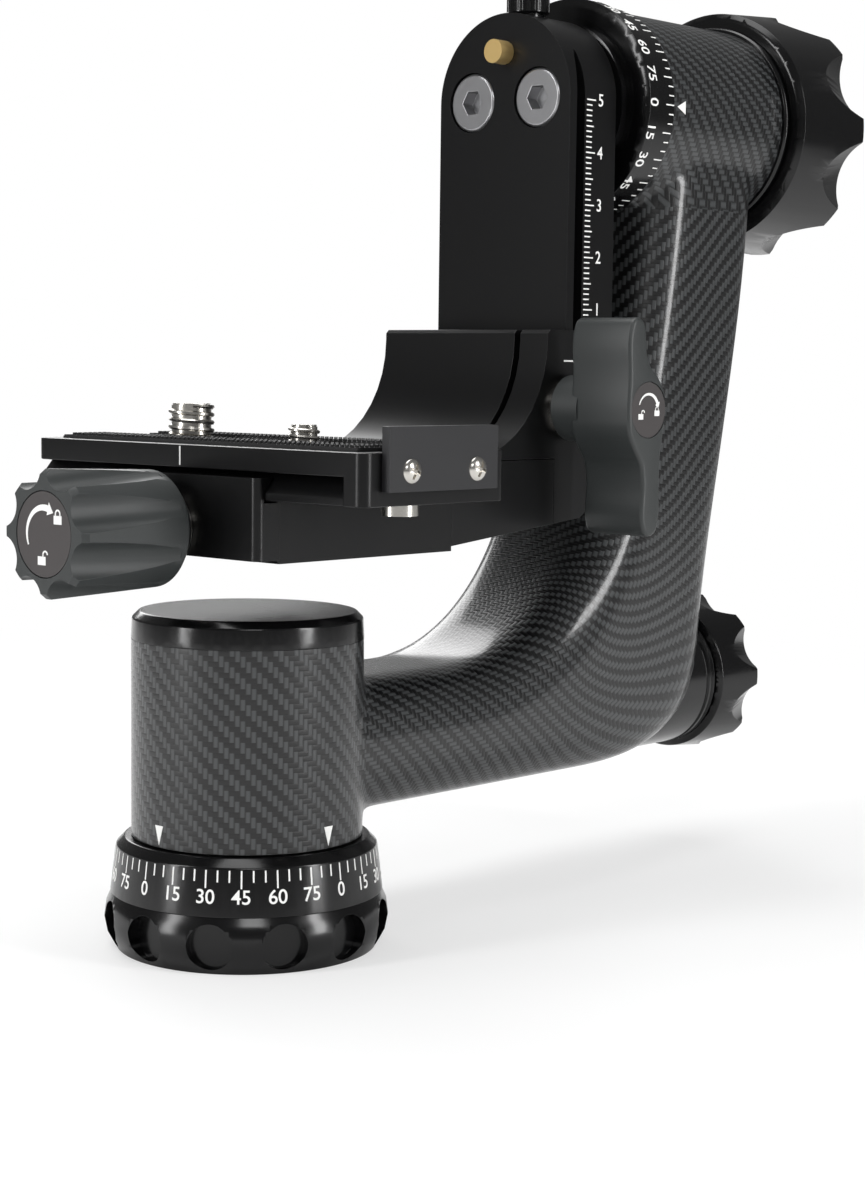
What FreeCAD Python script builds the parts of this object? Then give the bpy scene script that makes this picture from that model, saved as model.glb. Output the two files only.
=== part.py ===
import FreeCAD, Part
import math
import os

V = FreeCAD.Vector
X, Y, Z = V(1, 0, 0), V(0, 1, 0), V(0, 0, 1)

# Millimetres. Z is up and is the pan axis. The origin is the centre of the base ring's underside.
# The tilt axis runs along X at tilt_z, and the lens would point along Y.

# Fits
run = 0.05           # radial running clearance of shafts and screws
slide = 0.15         # clearance of sliding faces
gap = 0.3            # open gap between parts that move past each other

# Pan base
ring_r = 29.0
ring_h = 11.5
ring_foot_r = 26.5
cup_r = 4.6
cup_count = 12
cup_depth = 3.2
cup_z = 5.6
cup_phase = 242.4    # degrees, where the first cup lies round the ring
foot_r = 16.0        # the spindle's foot inside the ring
base_screw_r = 1.6
base_head_r = 3.7
base_screw_ring = 20.5
dial_r = 27.8
dial_top_r = 26.6
dial_h = 11.2
dial_chamfer = 1.7
housing_r = 23.6     # carbon base housing
housing_top = 63.0
wall = 3.0           # carbon wall
cap_h = 5.6
cap_chamfer = 1.4
spigot = 2.6         # depth of the cap's ring inside the housing
tripod_r = 4.7625    # 3/8 inch stud
tripod_depth = 16.0
shoulder_r = 14.4    # shoulders and spacers that press on the inner races
insert_r = 8.0
spindle_r = 12.5
bearing_w = 7.0
bearing_r = 18.5
race = 2.0
ball_r = 1.9
ball_count = 12

# Arm
arm_half = 20.5      # half the arm's width along Y
arm_wall = 3.0
lock_z = 42.6        # axis of the pan lock
lock_rod_r = 4.0
lock_knob_r = 19.2
lock_knob_x = 139.5
lock_knob_len = 15.5
lock_boss_r = 16.2   # carbon boss at the elbow
lock_bush_r = 12.6
shoe_r = 4.0

# Tilt
tilt_z = 177.2
tube_r = 23.4        # carbon tilt housing
tube_x0 = 108.5
tube_x1 = 151.6
stud_r = 6.0
tilt_knob_r = 29.7
tilt_knob_base_r = 28.0
tilt_knob_x = 153.4
tilt_knob_len = 25.6
dial2_r = 24.7
dial2_tick_r = 24.0
dial2_x = 97.0
flutes = 8

# Rail
rail_x0 = 76.6
rail_x1 = 92.7
rail_half = 19.0
rail_bottom = 95.0
flange_t = 2.4       # straight side of the rail's front edge
groove = 3.0         # depth of the dovetail groove
screw_y = 9.5
screw_head_r = 6.5
screw_r = 4.0
pin_z = tilt_z + 10.3
pin_r = 2.6
pin_out = 4.0        # how far the safety pin stands out of the rail
pull = 4.2           # lift of the plunger, and the pin's travel
knurl_r = 4.7

# Platform bracket
bracket_face = 64.5
bracket_half = 24.0
bracket_top = 126.2
bracket_fillet = 25.0
leg_top = 99.0
leg_bottom = 81.2
leg_end_bottom = 85.0
seam_x = 34.6        # where the bracket meets the clamp body
slit_y = -14.6
slit_w = 1.6
lever_x = 71.0
lever_z = 109.5
lever_hub_r = 7.1
lever_y0 = -25.6     # inner end of the lever's hub
wing_y0 = -30.6
wing_y1 = -46.5
wing_up = 19.0
wing_down = 26.0
wing_r = 6.7
wing_w = 5.8
wing_round = 2.4
label_r = 5.8

# Quick-release clamp and plate
plate_half = 19.6
plate_y0 = -51.5
plate_y1 = 43.5
plate_top = 102.4
plate_slab = 4.5
plate_bottom = 92.5
foot_half = 19.0
neck_half = 15.6
end_block = 5.2
clamp_half = 24.0
clamp_bottom = 80.2
clamp_floor = plate_bottom - slide
clamp_top = 96.8
jaw_x0 = -21.0
jaw_x1 = -15.0
jaw_travel = 2.5
clamp_axis_z = 86.2
clamp_knob_x0 = -23.4
clamp_knob_x1 = -51.6
clamp_knob_r = 12.2
clamp_label_r = 8.0
big_screw_y = 17.4
big_screw_r = 4.7625
big_screw_top = 109.9
small_screw_y = -15.9
small_screw_r = 3.175
small_screw_top = 106.4
pad_h = 1.1
neck_cut = 0.6       # the camera screws' shanks are this much thinner below their threads
flange_screw_x = 9.0
flange_screw_z = 99.0
flange_screw_r = 1.5
flange_half = 14.9
flange_z0 = 95.2
flange_z1 = 107.2
stop_t = 2.0

parts = {}


def keep(name, *shapes):
    parts[name] = shapes[0] if len(shapes) == 1 else Part.makeCompound(list(shapes))


def box(x0, x1, y0, y1, z0, z1):
    return Part.makeBox(x1 - x0, y1 - y0, z1 - z0, V(x0, y0, z0))


def rod(axis, start, end, radius, at):
    """A cylinder along an axis from start to end; at is the place across it."""
    if axis is X:
        origin = V(start, at[0], at[1])
    elif axis is Y:
        origin = V(at[0], start, at[1])
    else:
        origin = V(at[0], at[1], start)
    if end < start:
        origin = origin + axis * (end - start)
    return Part.makeCylinder(radius, abs(end - start), origin, axis)


def turned(axis, points, at=(0, 0)):
    """A solid of revolution: points are (distance along the axis, radius), a closed outline."""
    if axis is X:
        place = [V(a, at[0], at[1] + r) for a, r in points]
        centre = V(0, at[0], at[1])
    elif axis is Y:
        place = [V(at[0], a, at[1] + r) for a, r in points]
        centre = V(at[0], 0, at[1])
    else:
        place = [V(at[0] + r, at[1], a) for a, r in points]
        centre = V(at[0], at[1], 0)
    face = Part.Face(Part.makePolygon(place + place[:1]))
    solid = face.revolve(centre, axis, 360)
    if solid.Volume < 0:
        solid.reverse()
    return solid


def ringed(axis, start, end, outer, inner, at=(0, 0)):
    return turned(axis, [(start, inner), (end, inner), (end, outer), (start, outer)], at)


def plate_xz(points, y0, y1):
    """An outline in X and Z, extruded along Y."""
    place = [V(x, y0, z) for x, z in points]
    return Part.Face(Part.makePolygon(place + place[:1])).extrude(V(0, y1 - y0, 0))


def arc_points(cx, cz, radius, start, end, count):
    turn = [math.radians(start + (end - start) * i / count) for i in range(count + 1)]
    return [(cx + radius * math.cos(t), cz + radius * math.sin(t)) for t in turn]


def spaced(count, radius, phase=0.0):
    return [(radius * math.cos(phase + 2 * math.pi * i / count),
             radius * math.sin(phase + 2 * math.pi * i / count)) for i in range(count)]


def bearings(prefix, axis, starts, at):
    """Two ball bearings: races and balls are one node each."""
    inner, outer, balls = [], [], []
    middle = (spindle_r + bearing_r) / 2
    for start in starts:
        centre = start + bearing_w / 2
        if axis is X:
            middle_point = V(centre, at[0], at[1])
        else:
            middle_point = V(at[0], at[1], centre)
        track = Part.makeTorus(middle, ball_r + run, middle_point, axis)
        inner.append(ringed(axis, start, start + bearing_w, spindle_r + race, spindle_r, at).cut(track))
        outer.append(ringed(axis, start, start + bearing_w, bearing_r, bearing_r - race, at).cut(track))
        for a, b in spaced(ball_count, middle):
            if axis is X:
                balls.append(Part.makeSphere(ball_r, middle_point + V(0, a, b)))
            else:
                balls.append(Part.makeSphere(ball_r, middle_point + V(a, b, 0)))
    keep(prefix + "_bearing_inner_races", *inner)
    keep(prefix + "_bearing_outer_races", *outer)
    keep(prefix + "_bearing_balls", *balls)


def fluted_knob(start, length, base_r, face_r, at, bore, bore_len):
    """A lock knob along X: a slightly conical body whose flutes deepen towards its outer face."""
    end = start + length
    lip = 1.2
    bore_end = start + bore_len
    body = turned(X, [(start, bore), (start, base_r - 2.0), (start + lip, base_r), (end - lip, face_r),
                      (end, face_r - lip), (end, 0), (bore_end, 0), (bore_end, bore)], at)
    flute_r = face_r * 0.42
    for i in range(flutes):
        turn = 2 * math.pi * (i + 0.5) / flutes
        out = V(0, math.cos(turn), math.sin(turn))
        reach = face_r + flute_r * 0.62
        centre = V(end, at[0], at[1]) + out * reach
        lean = out * 0.34 - X
        lean.normalize()
        cutter = Part.makeCylinder(flute_r, length * 1.6, centre - lean * length * 0.6, lean)
        body = body.cut(cutter)
    return body


# Base: the ring, the dial, the spindle and what holds them together
dial_top = ring_h + dial_h
housing_bottom = dial_top + gap
sleeve_r = housing_r - wall
stem_top = 59.8

ring = turned(Z, [(0, foot_r), (0, ring_foot_r), (3.2, ring_r - 0.6), (6.2, ring_r), (9.2, ring_r - 0.4),
                  (ring_h, dial_r - 0.2), (ring_h, foot_r)])
for i in range(cup_count):
    turn = math.radians(cup_phase) + 2 * math.pi * i / cup_count
    out = V(math.cos(turn), math.sin(turn), 0)
    ring = ring.cut(Part.makeCylinder(cup_r, 8, out * (ring_r - cup_depth) + Z * cup_z, out))
base_holes = spaced(3, base_screw_ring)
for a, b in base_holes:
    ring = ring.cut(rod(Z, -1, ring_h + 1, base_screw_r + 0.5, (a, b)))
    ring = ring.cut(rod(Z, -1, 3.5, base_head_r + 0.2, (a, b)))
keep("base_ring", ring)

dial = turned(Z, [(ring_h, foot_r), (ring_h, dial_r), (dial_top - dial_chamfer, dial_top_r),
                  (dial_top, dial_top_r - dial_chamfer), (dial_top, foot_r)])
for a, b in base_holes:
    dial = dial.cut(rod(Z, ring_h - 1, ring_h + 7.5, base_screw_r, (a, b)))
keep("pan_dial", dial)
keep("base_screws", *[rod(Z, 0.4, 3.5, base_head_r, p).fuse(rod(Z, 3.5, ring_h + 7, base_screw_r, p))
                      for p in base_holes])

spindle = turned(Z, [(0.4, insert_r), (0.4, foot_r), (dial_top, foot_r), (dial_top, spindle_r),
                     (stem_top - 6, spindle_r), (stem_top - 6, 10.0), (stem_top + 3, 10.0),
                     (stem_top + 3, 4.0), (tripod_depth, 4.0), (tripod_depth, insert_r)])
keep("pan_spindle", spindle)
keep("tripod_insert", ringed(Z, 0, tripod_depth, insert_r, tripod_r))

lower_bearing = housing_bottom + 2.4
upper_bearing = stem_top - 6 - bearing_w
keep("pan_spacer", ringed(Z, dial_top, lower_bearing, shoulder_r, spindle_r))
bearings("pan", Z, [lower_bearing, upper_bearing], (0, 0))
keep("pan_washer", ringed(Z, stem_top - 6, stem_top - 5, shoulder_r, 10.0))
keep("pan_nut", ringed(Z, stem_top - 5, stem_top, 13.5, 10.0))

# Arm: its outline in X and Z is straight lines and four curves, each curve given by four points
under = [(92, 26), (116, 26), (132.6, 30), (134.6, 56)]
outer = [(134.6, 56), (136.6, 82), (151.0, tilt_z - 47.2), (151.2, tilt_z - 9.2)]
inside = [(110.4, tilt_z - 9.2), (109.0, tilt_z - 30.2), (100.1, 99), (93.2, 84)]
crook = [(93.2, 84), (84, 64), (66, 53.8), (46, 53.8)]
arm_corner = 12.0
hollow_corner = 5.0
curve_steps = 8


def bend(points, inset):
    """A smooth edge along a cubic curve, moved inwards (to the left of its direction) by inset."""
    places = []
    ways = []
    for i in range(curve_steps + 1):
        t = i / curve_steps
        u = 1 - t
        place = [u ** 3 * p + 3 * u * u * t * q + 3 * u * t * t * r + t ** 3 * s for p, q, r, s in zip(*points)]
        way = [u * u * (q - p) + 2 * u * t * (r - q) + t * t * (s - r) for p, q, r, s in zip(*points)]
        size = math.hypot(*way)
        places.append(V(place[0] - way[1] / size * inset, 0, place[1] + way[0] / size * inset))
        ways.append(V(way[0], 0, way[1]))
    curve = Part.BSplineCurve()
    curve.interpolate(Points=places, InitialTangent=ways[0], FinalTangent=ways[-1])
    return curve.toShape()


def arm_body(inset, corner):
    runs = [bend(under, inset), bend(outer, inset), bend(inside, inset), bend(crook, inset)]
    ends = [edge.valueAt(edge.FirstParameter) for edge in runs] + [runs[3].valueAt(runs[3].LastParameter)]
    start_low = V(6, 0, ends[0].z)
    start_high = V(6, 0, ends[4].z)
    top = runs[1].valueAt(runs[1].LastParameter)
    order = [Part.LineSegment(start_low, ends[0]).toShape(), runs[0], runs[1],
             Part.LineSegment(top, ends[2]).toShape(), runs[2], runs[3],
             Part.LineSegment(ends[4], start_high).toShape(),
             Part.LineSegment(start_high, start_low).toShape()]
    half = arm_half - inset
    wire = Part.Wire(order)
    wire.translate(V(0, -half, 0))
    body = Part.Face(wire).extrude(V(0, 2 * half, 0))
    long_edges = []
    for edge in body.Edges:
        middle = edge.CenterOfMass
        lengthwise = abs(abs(middle.y) - half) < 0.01 and middle.x > 6.01 and middle.z < top.z - 0.01
        if lengthwise:
            long_edges.append(edge)
    return body.makeFillet(corner, long_edges)


outside = rod(Z, housing_bottom, housing_top, housing_r, (0, 0))
outside = outside.fuse(arm_body(0, arm_corner)).fuse(rod(X, tube_x0, tube_x1, tube_r, (0, tilt_z)))
boss_end = lock_knob_x - 1.2
outside = outside.fuse(rod(X, boss_end - 26, boss_end, lock_boss_r, (0, lock_z)))
hollow = arm_body(arm_wall, hollow_corner)
tube_inner = tube_r - arm_wall
arm = outside.cut(hollow)
arm = arm.cut(rod(Z, housing_bottom - 1, housing_top + 1, sleeve_r, (0, 0)))
arm = arm.cut(rod(X, tube_x0 - 1, tube_x1 + 1, tube_inner, (0, tilt_z)))
bush_x = boss_end - 14
arm = arm.cut(rod(X, bush_x, boss_end + 1, lock_bush_r, (0, lock_z)))
keep("carbon_arm", arm)

sleeve = ringed(Z, housing_bottom, housing_top - spigot, sleeve_r, bearing_r)
shelf_low = lower_bearing + bearing_w
shelf = ringed(Z, shelf_low, upper_bearing, bearing_r, bearing_r - 1.2)
sleeve = sleeve.fuse(shelf)
sleeve = sleeve.cut(rod(X, 10, 26, shoe_r + run, (0, lock_z)))
keep("pan_sleeve", sleeve)

cap_top = housing_top + cap_h
cap = turned(Z, [(housing_top, 0), (housing_top, housing_r), (cap_top - cap_chamfer, housing_r - 0.2),
                 (cap_top, housing_r - 0.2 - cap_chamfer), (cap_top, 0)])
keep("top_cap", cap.fuse(ringed(Z, housing_top - spigot, housing_top, sleeve_r, bearing_r - 1.0)))

# Pan lock: a rod in the arm pushes the shoe against the spindle
shoe_x0 = spindle_r + 0.4
shoe_x1 = sleeve_r
keep("pan_brake_shoe", rod(X, shoe_x0, shoe_x1, shoe_r, (0, lock_z)))
rod_x1 = lock_knob_x + 9
keep("pan_lock_rod", rod(X, shoe_x1 + 0.35, rod_x1, lock_rod_r, (0, lock_z)))
rod_hole = lock_rod_r + run
keep("pan_lock_bush", ringed(X, bush_x, boss_end, lock_bush_r, rod_hole, (0, lock_z)))
keep("pan_lock_collar", turned(X, [(boss_end, rod_hole), (boss_end, 15.6), (boss_end + 0.3, 16.4),
                                   (lock_knob_x - gap, 16.4), (lock_knob_x - gap, rod_hole)], (0, lock_z)))
keep("pan_lock_knob", fluted_knob(lock_knob_x, lock_knob_len, lock_knob_r - 1.2, lock_knob_r,
                                  (0, lock_z), lock_rod_r, 9))

# Tilt spindle, its bearings and its lock
at_tilt = (0, tilt_z)
front_bearing = tube_x0 + 3.0
rear_bearing = tube_x1 - bearing_w - 4.0
hub_r = 19.0
keep("tilt_spindle", turned(X, [(rail_x1, 0), (rail_x1, 17.0), (rail_x1 + 1.6, 17.0), (rail_x1 + 2.2, hub_r),
                                (dial2_x - 0.2, hub_r), (dial2_x - 0.2, hub_r + 1), (tube_x0 - gap, hub_r + 1),
                                (tube_x0 - gap, shoulder_r), (front_bearing, shoulder_r),
                                (front_bearing, spindle_r),
                                (rear_bearing + bearing_w, spindle_r), (rear_bearing + bearing_w, stud_r),
                                (tilt_knob_x + 14, stud_r), (tilt_knob_x + 14, 0)], at_tilt))
bearings("tilt", X, [front_bearing, rear_bearing], at_tilt)
tilt_sleeve = ringed(X, tube_x0, tube_x1, tube_inner, bearing_r, at_tilt)
tilt_sleeve = tilt_sleeve.fuse(ringed(X, front_bearing + bearing_w, rear_bearing, bearing_r,
                                      bearing_r - 1.2, at_tilt))
keep("tilt_sleeve", tilt_sleeve)
keep("tilt_dial", turned(X, [(dial2_x, hub_r + 1), (dial2_x, dial2_r - 2.2), (dial2_x + 0.8, dial2_r),
                             (dial2_x + 3.7, dial2_r), (dial2_x + 4.1, dial2_tick_r),
                             (tube_x0 - 0.9, dial2_tick_r), (tube_x0 - gap, dial2_tick_r - 0.6),
                             (tube_x0 - gap, hub_r + 1)], at_tilt))
keep("tilt_end_ring", turned(X, [(tube_x1, stud_r + 2 * run), (tube_x1, tube_r + 0.6), (tube_x1 + 0.6, tube_r + 1.0),
                                 (tube_x1 + 1.3, tube_r + 1.0), (tube_x1 + 1.3, stud_r + 2 * run)], at_tilt))
keep("friction_washer", ringed(X, rear_bearing + bearing_w, tube_x1, 16.2, stud_r + run, at_tilt))
keep("tilt_lock_knob", fluted_knob(tilt_knob_x, tilt_knob_len, tilt_knob_base_r, tilt_knob_r,
                                   at_tilt, stud_r + run, 14.5))

# Rail: dovetail section with a round top
rail_mid = rail_x0 + flange_t + groove
section_points = [(rail_x0, -rail_half), (rail_x0 + flange_t, -rail_half), (rail_mid - 1.2, -rail_half + groove),
                  (rail_mid - 0.6, -rail_half + groove), (rail_mid - 0.2, -rail_half), (rail_x1, -rail_half)]
outline = section_points + [(x, -y) for x, y in reversed(section_points)]
profile = [V(x, y, rail_bottom) for x, y in outline]
rail_top = tilt_z + rail_half
rail = Part.Face(Part.makePolygon(profile + profile[:1])).extrude(V(0, 0, rail_top - rail_bottom))
round_top = rod(X, rail_x0, rail_x1, rail_half, at_tilt).fuse(
    box(rail_x0, rail_x1, -rail_half, rail_half, rail_bottom, tilt_z))
rail = rail.common(round_top)
head_depth = 5.4
fork_half = 1.6
stem_x = 84.4
stem_r = 3.6
pin_bore = pin_r + run
for side in (-1, 1):
    place = (side * screw_y, tilt_z)
    rail = rail.cut(rod(X, rail_x0 - 1, rail_x0 + head_depth, screw_head_r + 0.15, place))
    rail = rail.cut(rod(X, rail_x0, rail_x1 + 1, screw_r, place))
rail = rail.cut(rod(X, rail_x0 - 1, rail_x1 - 1.2, pin_bore, (0, pin_z)))
stem_low = pin_z - pull - 2.2
rail = rail.cut(rod(Z, stem_low - gap, rail_top + 1, stem_r + run, (stem_x, 0)))
keep("rail", rail)

spindle_holes = parts["tilt_spindle"]
rail_screws = []
for side in (-1, 1):
    place = (side * screw_y, tilt_z)
    thread_end = rail_x1 + 11.0
    spindle_holes = spindle_holes.cut(rod(X, rail_x1 - 1, thread_end, screw_r, place))
    head = turned(X, [(rail_x0 + 0.1, 0), (rail_x0 + 0.1, screw_head_r - 0.6), (rail_x0 + 0.7, screw_head_r),
                      (rail_x0 + head_depth, screw_head_r), (rail_x0 + head_depth, 0)], place)
    socket = Part.Face(Part.makePolygon([V(rail_x0, place[0] + a, place[1] + b)
                                         for a, b in spaced(6, 2.9) + spaced(6, 2.9)[:1]]))
    head = head.cut(socket.extrude(V(3.4, 0, 0)))
    rail_screws.append(head.fuse(rod(X, rail_x0 + head_depth, thread_end - 0.5, screw_r, place)))
keep("tilt_spindle", spindle_holes)
keep("rail_screws", *rail_screws)

# Safety pin: lifting the plunger draws the pin in, because its dowel runs in a slanted slot
pin_x0 = rail_x0 - pin_out
dowel_r = 0.7
dowel_x = stem_x - pull / 2
pin_x1 = dowel_x + dowel_r + 0.7
pin = rod(X, pin_x0, pin_x1, pin_r, (0, pin_z))
pin = pin.cut(box(stem_x - stem_r - pull - 0.2, pin_x1 + 1, -fork_half - slide, fork_half + slide,
                  pin_z - 4, pin_z + 4))
pin = pin.cut(rod(Y, -3, 3, dowel_r, (dowel_x, pin_z)))
keep("safety_pin", pin)
keep("pin_dowel", rod(Y, -pin_r + 0.5, pin_r - 0.5, dowel_r, (dowel_x, pin_z)))
stem = rod(Z, stem_low, rail_top + 1.2, stem_r, (stem_x, 0))
flat_top = pin_z + pin_r + 0.2
flat = box(stem_x - 5, stem_x + 5, -5, -fork_half, stem_low - 1, flat_top).fuse(
    box(stem_x - 5, stem_x + 5, fork_half, 5, stem_low - 1, flat_top))
stem = stem.cut(flat)
slot_half_h = dowel_r + run
slot_len = pull * math.sqrt(2)
slot = Part.makeBox(slot_len, 8, 2 * slot_half_h, V(0, -4, -slot_half_h))
slot.rotate(V(0, 0, 0), Y, 45)
slot.translate(V(dowel_x, 0, pin_z))
slot = slot.fuse(rod(Y, -4, 4, slot_half_h, (dowel_x, pin_z)))
slot = slot.fuse(rod(Y, -4, 4, slot_half_h, (dowel_x + pull, pin_z - pull)))
stem = stem.cut(slot)
knurl_z = rail_top + 0.3
knurl = turned(Z, [(knurl_z, 0), (knurl_z, knurl_r - 0.4), (knurl_z + 0.4, knurl_r), (knurl_z + 5.0, knurl_r),
                   (knurl_z + 5.6, knurl_r - 0.6), (knurl_z + 5.6, 0)], (stem_x, 0))
keep("safety_plunger", knurl.fuse(stem))

# Platform bracket and the jaw that is split off its end
lip = flange_t + groove - 1.6
bracket_back = rail_x0 - slide
fillet_x = bracket_face - bracket_fillet
fillet_z = leg_top + bracket_fillet
corner_x = bracket_back + lip
profile = [(seam_x, leg_bottom), (72.5, leg_end_bottom)]
profile += [(corner_x - 6 + 6 * math.sin(math.radians(a)), leg_end_bottom + 6 - 6 * math.cos(math.radians(a)))
            for a in (20, 40, 60, 80, 90)]
profile += [(corner_x, bracket_top - 0.6), (corner_x - 0.6, bracket_top), (bracket_face + 0.8, bracket_top),
            (bracket_face, bracket_top - 0.8)]
profile += arc_points(fillet_x, fillet_z, bracket_fillet, 0, -90, 10)
profile += [(seam_x, leg_top)]
whole = plate_xz(profile, -bracket_half, bracket_half)
seat_points = [(bracket_back, -rail_half - slide), (rail_x0 + flange_t, -rail_half - slide),
               (rail_mid - 1.2, -rail_half + groove - slide), (rail_mid + 3, -rail_half + groove - slide)]
seat = seat_points + [(x, -y) for x, y in reversed(seat_points)]
seat_low = leg_bottom - 1.0
seat_face = [V(x, y, seat_low) for x, y in seat]
channel = Part.Face(Part.makePolygon(seat_face + seat_face[:1])).extrude(V(0, 0, 60))
whole = whole.cut(channel)
jaw_side = box(20, 90, -30, slit_y - slit_w, leg_top - 0.4, 140)
jaw_side = jaw_side.fuse(box(bracket_back - 9, 90, -30, slit_y - slit_w, leg_bottom - 2, 140))
front_step = box(20, bracket_back - 9 - slide, -30, slit_y, leg_bottom - 2, leg_top - 0.4 - slide)
jaw = whole.common(jaw_side)
bracket = whole.cut(box(20, 90, -30, slit_y, 70, 140)).fuse(whole.common(front_step))
pins_z = [lever_z - 14, lever_z + 11]
screw_bore = 3.0
guide_r = 2.0
height_screw_end = slit_y + 12
jaw = jaw.cut(rod(Y, -30, 0, screw_bore + 2 * run, (lever_x, lever_z)))
bracket = bracket.cut(rod(Y, -20, height_screw_end + 0.5, screw_bore + run, (lever_x, lever_z)))
guides = []
for z in pins_z:
    jaw = jaw.cut(rod(Y, -22, 0, guide_r + run, (lever_x, z)))
    bracket = bracket.cut(rod(Y, -20, slit_y + 8, guide_r, (lever_x, z)))
    guides.append(rod(Y, slit_y - slit_w - 4.5, slit_y + 8, guide_r, (lever_x, z)))
keep("height_jaw", jaw)
keep("jaw_guide_pins", *guides)

# Lever knob of the height lock: a hub, and a bar whose two halves lie on opposite sides
lever_at = (lever_x, lever_z)
keep("height_washer", ringed(Y, lever_y0 + 0.1, -bracket_half, 6.2, screw_bore + 2 * run, lever_at))
hub = rod(Y, wing_y1, lever_y0, lever_hub_r, lever_at)
disc_body = rod(Y, wing_y1, wing_y0, wing_r, lever_at)
upper = box(lever_x - wing_r, lever_x - wing_r + wing_w, wing_y1, wing_y0, lever_z, lever_z + wing_up)
lower = box(lever_x + wing_r - wing_w, lever_x + wing_r, wing_y1, wing_y0, lever_z - wing_down, lever_z)
wing = disc_body.fuse(upper).fuse(lower).removeSplitter()
ends = [e for e in wing.Edges if abs(e.Length - (wing_y0 - wing_y1)) < 0.01
        and abs(e.CenterOfMass.z - lever_z) > wing_up - 1]
wing = wing.makeFillet(wing_round, ends)
lever = wing.fuse(hub)
lever = lever.cut(rod(Y, wing_y1 - 1, wing_y1 + 0.8, label_r + 0.2, lever_at))
lever = lever.cut(rod(Y, wing_y1 + 4, lever_y0 + 1, screw_bore, lever_at))
keep("lever_knob", lever)
keep("lever_label", rod(Y, wing_y1 + 0.1, wing_y1 + 0.8, label_r, lever_at))
keep("height_screw", rod(Y, wing_y1 + 4, height_screw_end, screw_bore, lever_at))

# Quick-release clamp: body with the fixed jaw, and the moving jaw
slab_z = plate_top - plate_slab
foot_z = plate_bottom + 1.5
dovetail = (foot_half - neck_half) / (slab_z - foot_z)
lip_x = foot_half + slide - (clamp_top - foot_z) * dovetail
body_outline = [(jaw_x1 + slide, clamp_bottom + 0.6), (jaw_x1 + slide + 0.6, clamp_bottom), (seam_x, clamp_bottom),
                (seam_x, clamp_top), (lip_x, clamp_top), (foot_half + slide, foot_z),
                (foot_half + slide, clamp_floor),
                (jaw_x1 + slide, clamp_floor)]
body = plate_xz(body_outline, -clamp_half, clamp_half)
jaw_outline = [(jaw_x0, clamp_bottom + 0.8), (jaw_x1, clamp_bottom + 0.8), (jaw_x1, clamp_floor - 0.3),
               (-foot_half - slide, clamp_floor - 0.3), (-foot_half - slide, foot_z),
               (-lip_x, clamp_top), (jaw_x0, clamp_top)]
clamp_jaw = plate_xz(jaw_outline, -clamp_half - 1.0, clamp_half + 1.0)
outer_edges = [e for e in clamp_jaw.Edges if abs(e.CenterOfMass.x - jaw_x0) < 0.01
               and abs(e.Length - (clamp_top - clamp_bottom - 0.8)) < 0.01]
clamp_jaw = clamp_jaw.makeFillet(1.6, outer_edges)
clamp_at = (0, clamp_axis_z)
clamp_screw_r = 3.0
clamp_screw_end = 8.0
body = body.cut(rod(X, -20, clamp_screw_end + jaw_travel + 1, clamp_screw_r + run, clamp_at))
clamp_jaw = clamp_jaw.cut(rod(X, -30, 0, clamp_screw_r + run, clamp_at))
clamp_pins = []
for y in (-16, 16):
    body = body.cut(rod(X, -20, -2, 2.0 + run, (y, clamp_axis_z)))
    clamp_jaw = clamp_jaw.cut(rod(X, jaw_x0 + 2, 0, 2.0, (y, clamp_axis_z)))
    clamp_pins.append(rod(X, jaw_x0 + 2, -4, 2.0, (y, clamp_axis_z)))
joint_screws = []
for y in (-9, 9):
    place = (y, clamp_axis_z)
    body = body.cut(rod(X, 14, seam_x + 1, 2.6, place)).cut(rod(X, 10, 18, 4.4, place))
    bracket = bracket.cut(rod(X, seam_x - 1, seam_x + 12, 2.5, place))
    joint_screws.append(rod(X, 13.2, 18, 4.3, place).fuse(rod(X, 18, seam_x + 11.5, 2.5, place)))
keep("clamp_body", body)
keep("clamp_jaw", clamp_jaw)
keep("clamp_guide_pins", *clamp_pins)
keep("joint_screws", *joint_screws)
keep("platform_bracket", bracket)

knob_len = abs(clamp_knob_x1 - clamp_knob_x0)
knob = turned(X, [(clamp_knob_x0, 0), (clamp_knob_x0, 9.2), (clamp_knob_x0 - 2.4, 11.4),
                  (clamp_knob_x1 + 1.2, clamp_knob_r), (clamp_knob_x1, clamp_knob_r - 1.0),
                  (clamp_knob_x1, 0)], clamp_at)
for a, b in spaced(flutes, clamp_knob_r + 2.6, math.pi / flutes):
    start = V(clamp_knob_x0 - 4, a * 1.06, b * 1.06 + clamp_axis_z)
    knob = knob.cut(Part.makeCylinder(4.4, knob_len, start, V(-1, -a * 0.006, -b * 0.006)))
knob = knob.cut(rod(X, clamp_knob_x1 - 1, clamp_knob_x1 + 0.8, clamp_label_r + 0.2, clamp_at))
knob = knob.cut(rod(X, clamp_knob_x0 + 1, clamp_knob_x0 - 12, clamp_screw_r, clamp_at))
keep("clamp_knob", knob)
keep("clamp_label", rod(X, clamp_knob_x1 + 0.1, clamp_knob_x1 + 0.8, clamp_label_r, clamp_at))
keep("clamp_washer", ringed(X, clamp_knob_x0 + 0.1, jaw_x0 - 0.1, 7.0, clamp_screw_r + run, clamp_at))
keep("clamp_screw", rod(X, clamp_knob_x0 - 12, clamp_screw_end, clamp_screw_r, clamp_at))

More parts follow.
